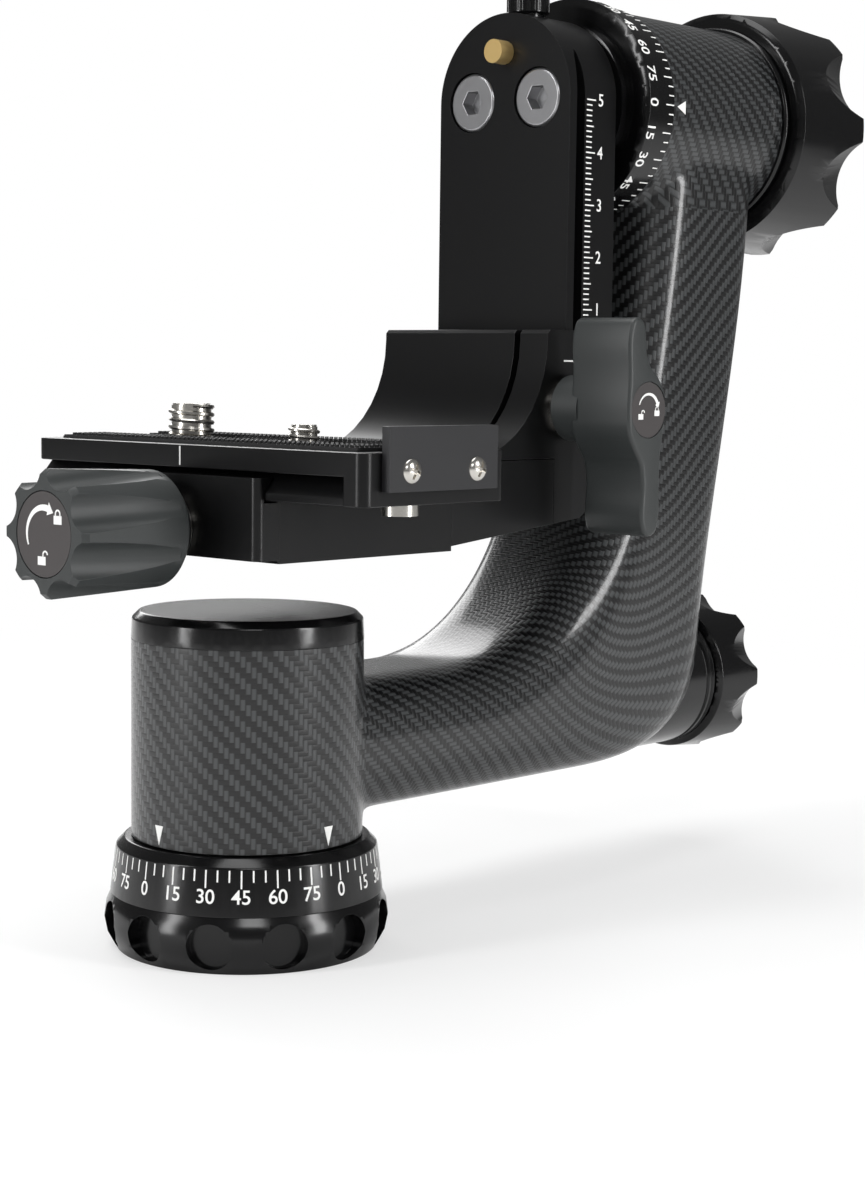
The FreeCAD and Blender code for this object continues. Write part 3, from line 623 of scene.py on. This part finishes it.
panPrint = dict(lowRadius=27.8, lowZ=11.5, highRadius=26.6, highZ=20.996, tickTop=20.7, short=2.3, long=3.5,
                numberZ=15.4, line=0.32, tickCount=72, numberStep=15, meanRadius=27.2, markHalf=1.15,
                markLength=3.9, markFoot=23.5)


def panSurface(x, y, z):
    # x runs round the dial at its mean radius, y is up its slope from the lower edge
    slope = math.atan2(panPrint["lowRadius"] - panPrint["highRadius"], panPrint["highZ"] - panPrint["lowZ"])
    radius = panPrint["lowRadius"] - y * math.sin(slope) + z
    angle = x / panPrint["meanRadius"]
    return radius * math.cos(angle), radius * math.sin(angle), panPrint["lowZ"] + y * math.cos(slope)


def makePanPrint():
    p = panPrint
    girth = 2 * math.pi * p["meanRadius"]
    pieces = [moved(dialTicks(p, girth), 0, p["tickTop"] - p["lowZ"]),
              dialNumbers(p, girth, p["numberZ"] - p["lowZ"])]
    keepPiece("pan-dial-print", layOn(joinMeshes(pieces), panSurface), whiteInk, "base")
    marks = []
    # only two of the four are in the photograph's sight; the other two serve the far side
    for degrees in (0, 90, 180, 270):
        way = math.radians(degrees) * armPlace["housingRadius"]
        marks.append(moved(markerShape(p["markHalf"], p["markLength"]), way, 0))

    def housingSurface(x, y, z):
        radius = armPlace["housingRadius"] - printing["sinkMm"] + z
        angle = x / armPlace["housingRadius"]
        return radius * math.cos(angle), radius * math.sin(angle), p["markFoot"] + y

    keepPiece("pan-markers", layOn(joinMeshes(marks), housingSurface), whiteInk, "arm")


tiltPrint = dict(numberX=99.1, numberRadius=24.7, tickEnd=107.4, tickRadius=24.0, short=1.7, long=2.9,
                 line=0.28, tickCount=72, numberStep=15, markTip=109.6, markHalf=1.5, markLength=3.1)


def makeTiltPrint():
    p = tiltPrint
    tiltZ = armPlace["tiltZ"]

    def onRing(radius, lift):
        # x runs round the tilt axis from the -Y side downwards, y is along +X
        def surface(x, y, z):
            angle = x / radius
            return y, -(radius + z + lift) * math.cos(angle), tiltZ - (radius + z + lift) * math.sin(angle)
        return surface

    ticks = dialTicks(p, 2 * math.pi * p["tickRadius"])
    tickMesh = layOn(moved(ticks, 0, p["tickEnd"]), onRing(p["tickRadius"], 0))
    numbers = dialNumbers(p, 2 * math.pi * p["numberRadius"], p["numberX"])
    numberMesh = layOn(numbers, onRing(p["numberRadius"], 0))
    keepPiece("tilt-dial-print", joinMeshes([tickMesh, numberMesh]), whiteInk, "swing")
    marker = moved(markerShape(p["markHalf"], p["markLength"]), 0, p["markTip"])
    keepPiece("tilt-marker", layOn(marker, onRing(armPlace["tubeRadius"], -printing["sinkMm"])), whiteInk, "arm")


railPrint = dict(tickMm=1.143, perNumber=10, top=176.65, numbers=5, line=0.30, short=1.9, middle=2.5, long=3.1,
                 startX=82.4, numberX=87.3, digitMm=2.7, marksBelow=8)


def makeRailPrint():
    # the scale counts up to 5 on the rail's lever side, one number each ten marks
    p = railPrint
    count = p["numbers"] * p["perNumber"] + p["marksBelow"]
    ticks = runTree(tickRow, {"Count": count, "Spacing": p["tickMm"], "Line": p["line"], "Short": p["short"],
                              "Middle": p["middle"], "Long": p["long"], "LongEvery": 10.0, "MiddleEvery": 5.0,
                              "Height": printing["inkMm"], "Finish": whiteInk})
    # the row is turned to run down from the top, and its marks to run to the right
    ticks.transform(Matrix(((0, -1, 0, p["startX"]), (-1, 0, 0, p["top"]), (0, 0, 1, 0), (0, 0, 0, 1))))
    meshes = [ticks]
    for number in range(1, p["numbers"] + 1):
        height = p["top"] - (p["numbers"] - number) * p["perNumber"] * p["tickMm"]
        meshes.append(moved(textMesh(str(number), p["digitMm"]), p["numberX"], height))
    sideY = railBox[0][1] / mm
    mesh = layOn(joinMeshes(meshes), lambda x, y, z: (x, sideY - z, y))
    keepPiece("rail-scale-print", mesh, whiteInk, "swing")


# The jaw's index is a line with an arrow head, in X and Z; the plate's is a line on its edge, in Y and Z
indexPrint = dict(heightLine=(70.0, 119.4, 73.4, 119.75),
                  heightArrow=[(73.6, 119.0), (75.2, 119.6), (73.6, 120.2)],
                  plateLine=(-1.7, 98.4, -1.35, 102.1))


def makeIndexPrints():
    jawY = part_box("height_jaw")[0][1] / mm
    pieces = [barShape(*indexPrint["heightLine"]), flatShape(indexPrint["heightArrow"])]
    mesh = layOn(joinMeshes(pieces), lambda x, y, z: (x, jawY - z, y))
    keepPiece("height-index-print", mesh, whiteInk, "height_jaw")
    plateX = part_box("quick_plate")[0][0] / mm
    mesh = layOn(barShape(*indexPrint["plateLine"]), lambda x, y, z: (plateX - z, x, y))
    keepPiece("plate-index-print", mesh, whiteInk, "plate")


makePanPrint()
makeTiltPrint()
makeRailPrint()
makeIndexPrints()
print("prints done")


# Labels on the two knob discs: a tapering turn arrow between an open and a closed padlock

def arrowShape(radius, start, end, thin, thick):
    # an arc that grows from thin to thick and ends in an arrow head, angles in degrees
    steps = 22
    outer, inner = [], []
    for i in range(steps + 1):
        angle = math.radians(start + (end - start) * i / steps)
        half = (thin + (thick - thin) * i / steps) / 2
        outer.append(((radius + half) * math.cos(angle), (radius + half) * math.sin(angle)))
        inner.append(((radius - half) * math.cos(angle), (radius - half) * math.sin(angle)))
    last = math.radians(end)
    tip = math.radians(end + math.copysign(20, end - start))
    head = [((radius + thick) * math.cos(last), (radius + thick) * math.sin(last)),
            (radius * math.cos(tip), radius * math.sin(tip)),
            ((radius - thick) * math.cos(last), (radius - thick) * math.sin(last))]
    strips = []
    for i in range(steps):
        strips.append([outer[i], outer[i + 1], inner[i + 1], inner[i]])
    strips.append(head)
    return joinMeshes([flatShape(strip) for strip in strips])


def padlockShape(x, y, size, isOpen):
    # a square body and a shackle of short bars, the shackle to one side when open
    shapes = [barShape(x - size / 2, y - size / 2, x + size / 2, y + size * 0.2)]
    centreX, centreY = x + (size * 0.45 if isOpen else 0.0), y + size * 0.35
    steps = 8
    for i in range(steps):
        a, b = math.pi * i / steps, math.pi * (i + 1) / steps
        far, near = size * 0.36, size * 0.22
        corners = ((far, a), (far, b), (near, b), (near, a))
        shapes.append(flatShape([(centreX + radius * math.cos(turn), centreY + radius * math.sin(turn))
                                 for radius, turn in corners]))
    for side in (-1,) if isOpen else (-1, 1):
        edge = centreX + side * size * 0.29
        shapes.append(barShape(edge - size * 0.07, y + size * 0.15, edge + size * 0.07, y + size * 0.37))
    return joinMeshes(shapes)


# Each label is drawn for a disc of radius 8: arrow (radius, start, end, thin, thick), then the padlocks' places
labelArt = {
    "clamp": dict(arrow=(5.0, 205, 75, 0.35, 1.25), opened=(-0.6, -4.6), closed=(4.2, 3.2)),
    "lever": dict(arrow=(4.6, 160, 25, 0.35, 1.1), opened=(-3.6, -1.6), closed=(4.0, -0.6)),
}
labelSize = dict(drawnRadius=8.0, padlock=2.3)


def labelMesh(discRadius, art):
    scale = discRadius / labelSize["drawnRadius"]
    radius, start, end, thin, thick = art["arrow"]
    pieces = [arrowShape(radius * scale, start, end, thin * scale, thick * scale)]
    for place, isOpen in ((art["opened"], True), (art["closed"], False)):
        pieces.append(padlockShape(place[0] * scale, place[1] * scale, labelSize["padlock"] * scale, isOpen))
    return joinMeshes(pieces)


def makeLabels():
    low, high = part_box("clamp_label")
    discX, clampZ = low[0] / mm, (low[2] + high[2]) / 2 / mm
    mesh = layOn(labelMesh(labelSize["drawnRadius"], labelArt["clamp"]),
                 lambda x, y, z: (discX - z, -x, clampZ + y))
    keepPiece("clamp-label-print", mesh, whiteInk, "clamp_knob")


makeLabels()
print("labels done")


# Camera screws: threads over the CAD shanks, and the flange screws' cross recesses

cameraScrews = [
    dict(node="large_camera_screw", body="large_screw", radius=4.7625, pitch=1.5875, y=17.4),
    dict(node="small_camera_screw", body="small_screw", radius=3.175, pitch=1.27, y=-15.9),
]


# ridge, core and cap are the thread's shares of its pitch and ridge; the rest is in millimetres
screwShape = dict(ridge=0.30, core=1.45, cap=1.9, coreFoot=4.0, coreDrop=0.35, capHeight=0.9, threadOver=1.0,
                  threadUnder=1.4, headHeight=3.5, slot=(30, 1.6, 3.0), sharp=40)


def makeCameraScrew(screw):
    t = screwShape
    low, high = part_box(screw["node"])
    bottom, top = low[2] / mm, high[2] / mm
    headRadius = (high[0] - low[0]) / 2 / mm
    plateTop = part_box("quick_plate")[1][2] / mm
    radius, pitch, centre = screw["radius"], screw["pitch"], (0, screw["y"])
    ridge = pitch * t["ridge"]
    core = cylinderMesh("Z", bottom + t["coreFoot"], top - t["coreDrop"], radius - ridge * t["core"], centre, 48)
    cap = cylinderMesh("Z", top - t["capHeight"], top, radius - ridge * t["cap"], centre, 48)
    length = top - plateTop + t["threadOver"]
    thread = runTree(screwThread, {"Radius": (radius - ridge) * mm, "Pitch": pitch * mm, "Length": length * mm,
                                   "Ridge": ridge * mm, "Finish": nickelSteel})
    thread.transform(Matrix.Translation((0, screw["y"] * mm, (plateTop - t["threadUnder"]) * mm)))
    coin = primitive(bmesh.ops.create_cube, cubePlace((0, screw["y"], bottom), t["slot"]), size=1.0)
    head = cutMesh(cylinderMesh("Z", bottom, bottom + t["headHeight"], headRadius, centre, 64), [coin])
    mesh = smoothed(joinMeshes([head, core, cap, thread]), t["sharp"])
    keepPiece(screw["node"].replace("_", "-") + "-threaded", mesh, nickelSteel, screw["body"],
              [screw["node"]])


for screw in cameraScrews:
    makeCameraScrew(screw)


# The flange's two dome heads and their cross recesses, in millimetres; the recess is turned a little
flangeScrew = dict(places=(-9.0, 9.0), z=99.0, radius=2.4, height=1.3, rise=1.35, turn=0.35,
                   cross=(3.1, 1.7, 0.62), sharp=35)


def makeFlangeScrews():
    f = flangeScrew
    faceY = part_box("flange_screws")[0][1] / mm
    heads = []
    for x in f["places"]:
        dome = primitive(bmesh.ops.create_uvsphere,
                         cubePlace((x, faceY + f["rise"], f["z"]), (f["radius"], f["height"], f["radius"])),
                         u_segments=32, v_segments=16, radius=1.0)
        cutters = [primitive(bmesh.ops.create_cube,
                             cubePlace((x, faceY, f["z"]), f["cross"], Matrix.Rotation(turn, 4, "Y")), size=1.0)
                   for turn in (f["turn"], f["turn"] + math.pi / 2)]
        heads.append(cutMesh(dome, cutters))
    mesh = smoothed(joinMeshes(heads), f["sharp"])
    keepPiece("flange-screw-heads", mesh, nickelSteel, "plate", ["flange_screws"])


makeFlangeScrews()

# Two strips of rubber with slanted beads in rows, 1.3 mm apart, as near as the photograph shows
pad = dict(width=9.8, middleZ=102.5, thickness=1.2, edge=0.25, pitch=1.3, bead=(1.25, 0.55, 0.9), columns=7,
           lean=0.6, sideMargin=1.0, endMargin=2.0, beadZ=103.1)


def makePads():
    low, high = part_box("plate_pads")
    length = (high[1] - low[1]) / mm
    strips = []
    for x in (low[0] / mm, high[0] / mm - pad["width"]):
        middle = (x + pad["width"] / 2, (low[1] + high[1]) / 2 / mm, pad["middleZ"])
        strip = primitive(bmesh.ops.create_cube, cubePlace(middle, (pad["width"], length, pad["thickness"])),
                          pad["edge"], size=1.0)
        width, thickness, height = (size * mm for size in pad["bead"])
        beads = runTree(ribGrid, {"Rows": int((length - pad["endMargin"]) / pad["pitch"]),
                                  "Spacing": pad["pitch"] * mm, "Width": width, "Thickness": thickness,
                                  "Height": height, "Columns": pad["columns"], "ColumnSpacing": pad["pitch"] * mm,
                                  "Lean": pad["lean"], "Finish": padRubber})
        beads.transform(Matrix.Translation(
            Vector((x + pad["sideMargin"], low[1] / mm + pad["pitch"], pad["beadZ"])) * mm))
        strips += [strip, beads]
    keepPiece("plate-pads-ribbed", joinMeshes(strips), padRubber, "plate", ["plate_pads"])


makePads()


# The height lever: an S-shaped grip round a hub, moulded in one, with a disc let into its face

leverGrip = dict(
    # the grip's outline from the axis, in X and Z, clockwise from its upper left corner
    outline=[(-6.1, 17.4), (-4.8, 19.0), (-2.4, 18.8), (-1.2, 16.6), (-0.8, 12.8), (0.6, 9.4), (3.6, 6.8),
             (5.8, 3.2), (6.3, -0.5), (5.6, -4.5), (4.8, -9.0), (4.5, -15.0), (4.3, -24.0), (2.9, -26.4),
             (0.2, -26.4), (-1.2, -24.4), (-1.3, -15.0), (-2.0, -11.6), (-4.2, -8.4), (-6.2, -5.0),
             (-6.7, -1.0), (-6.4, 6.0)],
    frontY=-46.5, backY=-30.6, edge=0.9, hubRadius=7.1, hubY=-25.6, hubInside=2, discRadius=5.8, discDepth=0.5,
    discDrop=0.12, discInside=0.4, recessOver=1, recessGap=0.15, weld=0.01, sharp=38)


def makeLever():
    g = leverGrip
    low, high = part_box("lever_label")
    axisX, axisZ = (low[0] + high[0]) / 2 / mm, (low[2] + high[2]) / 2 / mm
    curve = bpy.data.curves.new("grip", "CURVE")
    curve.dimensions = "2D"
    curve.fill_mode = "BOTH"
    spline = curve.splines.new("BEZIER")
    spline.bezier_points.add(len(g["outline"]) - 1)
    for knot, (x, z) in zip(spline.bezier_points, g["outline"]):
        knot.co = (x, z, 0)
        knot.handle_left_type = knot.handle_right_type = "AUTO"
    spline.use_cyclic_u = True
    spline.resolution_u = 6
    curve.extrude = (g["backY"] - g["frontY"]) / 2 - g["edge"]
    curve.bevel_depth = g["edge"]
    curve.bevel_resolution = 3
    curve.offset = -g["edge"]
    holder = bpy.data.objects.new("grip", curve)
    grip = bpy.data.meshes.new_from_object(holder)
    bpy.data.objects.remove(holder, do_unlink=True)
    middleY = (g["backY"] + g["frontY"]) / 2
    layOn(grip, lambda x, y, z: (axisX + x, middleY - z, axisZ + y))
    facedOutwards(grip, g["weld"])
    hub = cylinderMesh("Y", g["backY"] - g["hubInside"], g["hubY"], g["hubRadius"], (axisX, axisZ))
    recess = cylinderMesh("Y", g["frontY"] - g["recessOver"], g["frontY"] + g["discDepth"],
                          g["discRadius"] + g["recessGap"], (axisX, axisZ))
    mesh = smoothed(joinMeshes([cutMesh(grip, [recess]), hub]), g["sharp"])
    keepPiece("lever-grip", mesh, mouldedNylon, "lever", ["lever_knob"])
    discY = g["frontY"] + g["discDrop"]
    disc = cylinderMesh("Y", discY, g["frontY"] + g["discDepth"] + g["discInside"], g["discRadius"],
                        (axisX, axisZ))
    keepPiece("lever-disc", smoothed(disc, g["sharp"]), greyDisc, "lever", ["lever_label"])
    label = layOn(labelMesh(g["discRadius"], labelArt["lever"]), lambda x, y, z: (axisX + x, discY - z, axisZ + y))
    keepPiece("lever-label-print", label, whiteInk, "lever")


makeLever()


knurl = dict(count=30, sunk=0.32, width=0.62, length=4.2, below=2.9)


def makePlungerKnurl():
    low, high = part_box("safety_plunger")
    radius = (high[0] - low[0]) / 2
    ridges = runTree(ridgeRing, {"Count": knurl["count"], "Radius": radius - knurl["sunk"] * mm,
                                 "Width": knurl["width"] * mm, "Length": knurl["length"] * mm,
                                 "Finish": blackAnodised})
    ridges.transform(Matrix.Translation(((low[0] + high[0]) / 2, 0, high[2] - knurl["below"] * mm)))
    keepPiece("plunger-knurl", ridges, turnedAnodised, "plunger")


makePlungerKnurl()


def turnedMesh(outline, centre, sides=96):
    # a ring about X: outline is (distance along X, radius) pairs in millimetres, a closed outline
    count = len(outline)
    points, faces = [], []
    for i in range(sides):
        angle = 2 * math.pi * i / sides
        points += [(x, centre[0] + radius * math.cos(angle), centre[1] + radius * math.sin(angle))
                   for x, radius in outline]
        start, following = i * count, (i + 1) % sides * count
        for k in range(count):
            after = (k + 1) % count
            faces.append((start + k, start + after, following + after, following + k))
    return facedOutwards(meshFrom(points, faces))


# The black sleeve over the elbow's boss, with two grooves beside the pan lock knob
lockCollar = dict(sharp=30, outline=[
    (113.0, 16.0), (113.0, 16.6), (135.9, 16.6), (136.2, 16.2), (136.7, 16.2), (137.0, 16.7), (137.7, 16.7),
    (138.0, 16.3), (138.4, 16.3), (138.7, 16.7), (139.1, 16.7), (139.2, 16.5), (139.2, 4.2), (138.3, 4.2),
    (138.3, 16.0)])


def makeLockCollar():
    mesh = smoothed(turnedMesh(lockCollar["outline"], (0, armPlace["lockZ"])), lockCollar["sharp"])
    keepPiece("pan-lock-collar-ringed", mesh, turnedAnodised, "arm", ["pan_lock_collar"])


makeLockCollar()
print("screws, pads, knurl and collar done")

# The machined and moulded pieces: node, finish, body, slot, eased edge in millimetres
machinedPieces = [
    ("base_ring", turnedAnodised, "base", "black_anodised", 0.3),
    ("pan_dial", turnedAnodised, "base", "black_anodised", 0.2),
    ("top_cap", turnedAnodised, "arm", "black_anodised", 0.25),
    ("pan_lock_knob", turnedAnodised, "pan_lock", "black_anodised", 0.35),
    ("tilt_dial", turnedAnodised, "swing", "black_anodised", 0.12),
    ("tilt_end_ring", turnedAnodised, "arm", "black_anodised", 0.12),
    ("tilt_lock_knob", turnedAnodised, "tilt_lock", "black_anodised", 0.4),
    ("rail", blackAnodised, "swing", "black_anodised", 0.5),
    ("platform_bracket", blackAnodised, "platform", "black_anodised", 0.55),
    ("height_jaw", blackAnodised, "height_jaw", "black_anodised", 0.55),
    ("clamp_body", blackAnodised, "platform", "black_anodised", 0.5),
    ("clamp_jaw", blackAnodised, "clamp_jaw", "black_anodised", 0.5),
    ("quick_plate", blackAnodised, "plate", "black_anodised", 0.5),
    ("stop_flange", powderCoat, "plate", "grey_metal", 0.15),
    ("rail_screws", zincSteel, "swing", "grey_plated", 0.15),
    ("safety_pin", machinedBrass, "pin", "brass", 0.25),
    ("clamp_knob", mouldedNylon, "clamp_knob", "grey_plastic", 0.5),
    ("clamp_label", greyDisc, "clamp_knob", "label", 0.0),
]
for nodeName, finish, body, slot, edge in machinedPieces:
    machined(nodeName, finish, body, edge)
print("machined pieces done")

shownAsBuilt = {
    turnedAnodised: ["pan_spindle", "tilt_spindle", "pan_sleeve", "tilt_sleeve", "pan_lock_bush",
                     "safety_plunger"],
    nickelSteel: ["tripod_insert", "base_screws", "pan_washer", "pan_nut", "pan_bearing_inner_races",
                  "pan_bearing_outer_races", "pan_bearing_balls", "tilt_bearing_inner_races",
                  "tilt_bearing_outer_races", "tilt_bearing_balls", "pan_spacer", "pan_lock_rod",
                  "jaw_guide_pins", "height_screw", "height_washer", "clamp_guide_pins", "joint_screws",
                  "clamp_screw", "clamp_washer", "plate_stop_screw", "pin_dowel", "friction_washer"],
    machinedBrass: ["pan_brake_shoe"],
}
for finish, nodes in shownAsBuilt.items():
    for nodeName in nodes:
        refinish(nodeName, finish)


# Floor, light and camera

studio = dict(floorColour="#f4f4f4", floorSize=8.0, worldLevel=0.17, whiteNear=0.20, whiteFar=0.55,
              nearShare=0.55)


def makeFloor():
    mesh = bpy.data.meshes.new("floor")
    half = studio["floorSize"] / 2
    mesh.from_pydata([(-half, -half, 0), (half, -half, 0), (half, half, 0), (-half, half, 0)], [], [(0, 1, 2, 3)])
    floor = bpy.data.objects.new("floor", mesh)
    bpy.context.scene.collection.objects.link(floor)
    paint = newFinish("palePaint", studio["floorColour"], 0.9)
    tree = paint.node_tree
    shader = tree.nodes["Principled BSDF"]
    shader.inputs["Specular IOR Level"].default_value = 0.0
    # away from the object the floor turns plain white for the camera, so no horizon shows
    place = addNode(tree, "ShaderNodeTexCoord")
    distance = addNode(tree, "ShaderNodeVectorMath", {"operation": "LENGTH"}, None,
                       {0: place.outputs["Object"]})
    fade = addNode(tree, "ShaderNodeMapRange", {"interpolation_type": "SMOOTHSTEP"},
                   {"From Min": studio["whiteNear"], "From Max": studio["whiteFar"],
                    "To Min": studio["nearShare"], "To Max": 1.0}, {"Value": distance.outputs["Value"]})
    path = addNode(tree, "ShaderNodeLightPath")
    seen = addNode(tree, "ShaderNodeMath", {"operation": "MULTIPLY"}, None,
                   {0: fade.outputs["Result"], 1: path.outputs["Is Camera Ray"]})
    white = addNode(tree, "ShaderNodeEmission", None, {"Color": srgbToLinear("#ffffff"), "Strength": 1.0})
    mixed = addNode(tree, "ShaderNodeMixShader", None, None,
                    {0: seen.outputs[0], 1: shader.outputs[0], 2: white.outputs[0]})
    tree.links.new(mixed.outputs[0], tree.nodes["Material Output"].inputs["Surface"])
    mesh.materials.append(paint)


def makeWorld():
    world = bpy.data.worlds.new("studio")
    bpy.context.scene.world = world
    world.use_nodes = True
    tree = world.node_tree
    tree.nodes.clear()
    path = addNode(tree, "ShaderNodeLightPath")
    seen = addNode(tree, "ShaderNodeBackground", None, {"Color": srgbToLinear("#ffffff"), "Strength": 1.0})
    soft = addNode(tree, "ShaderNodeBackground", None,
                   {"Color": srgbToLinear("#ffffff"), "Strength": studio["worldLevel"]})
    mixed = addNode(tree, "ShaderNodeMixShader", None, None, {"Fac": path.outputs["Is Camera Ray"]})
    tree.links.new(soft.outputs[0], mixed.inputs[1])
    tree.links.new(seen.outputs[0], mixed.inputs[2])
    addNode(tree, "ShaderNodeOutputWorld", None, None, {"Surface": mixed.outputs[0]})


softBoxes = [
    # name, place, aimed at, width, height (metres), watts
    ("leftStrip", (-0.80, 0.25, 0.30), (0.0, 0.0, 0.09), 0.14, 0.9, 5.0),
    ("topBox", (0.0, 0.1, 1.05), (0.05, 0.0, 0.1), 0.9, 0.7, 8.0),
    ("frontStrip", (0.35, -1.10, 0.35), (0.06, 0.0, 0.1), 0.20, 0.9, 9.0),
    ("backBox", (0.55, 0.9, 0.6), (0.08, 0.0, 0.12), 0.6, 0.6, 5.0),
    ("fillBox", (-0.75, -0.95, 0.75), (0.05, 0.0, 0.1), 0.42, 0.26, 3.0),
]


def makeLights():
    for name, place, aim, width, height, watts in softBoxes:
        lamp = bpy.data.lights.new(name, "AREA")
        lamp.shape = "RECTANGLE"
        lamp.size = width
        lamp.size_y = height
        lamp.energy = watts
        holder = bpy.data.objects.new(name, lamp)
        bpy.context.scene.collection.objects.link(holder)
        holder.location = place
        holder.rotation_euler = (Vector(aim) - Vector(place)).to_track_quat("-Z", "Y").to_euler()


# The camera was fitted to the photograph: place in millimetres, angles in degrees, focal length in pixels
photoCamera = dict(place=(-310.85, -336.46, 118.24), yaw=47.41, pitchDown=5.91, roll=0.726, focal=2265.2,
                   frameHeight=1200, sensor=36.0)


def makeCamera():
    c = photoCamera
    yaw, pitch, roll = (math.radians(c[key]) for key in ("yaw", "pitchDown", "roll"))
    forward = Vector((math.sin(yaw) * math.cos(pitch), math.cos(yaw) * math.cos(pitch), -math.sin(pitch)))
    level = Vector((math.cos(yaw), -math.sin(yaw), 0))
    upright = level.cross(forward)
    right = level * math.cos(roll) + upright * math.sin(roll)
    up = upright * math.cos(roll) - level * math.sin(roll)
    camera = bpy.data.cameras.new("camera")
    camera.sensor_fit = "VERTICAL"
    camera.sensor_height = c["sensor"]
    camera.lens = c["focal"] / c["frameHeight"] * c["sensor"]
    camera.clip_start = 0.01
    holder = bpy.data.objects.new("camera", camera)
    bpy.context.scene.collection.objects.link(holder)
    turn = Matrix((right, up, -forward)).transposed().to_4x4()
    holder.matrix_world = Matrix.Translation(Vector(c["place"]) * mm) @ turn
    bpy.context.scene.camera = holder


makeFloor()
makeWorld()
makeLights()
makeCamera()
bpy.context.scene.view_settings.view_transform = "Standard"
print("studio ready")
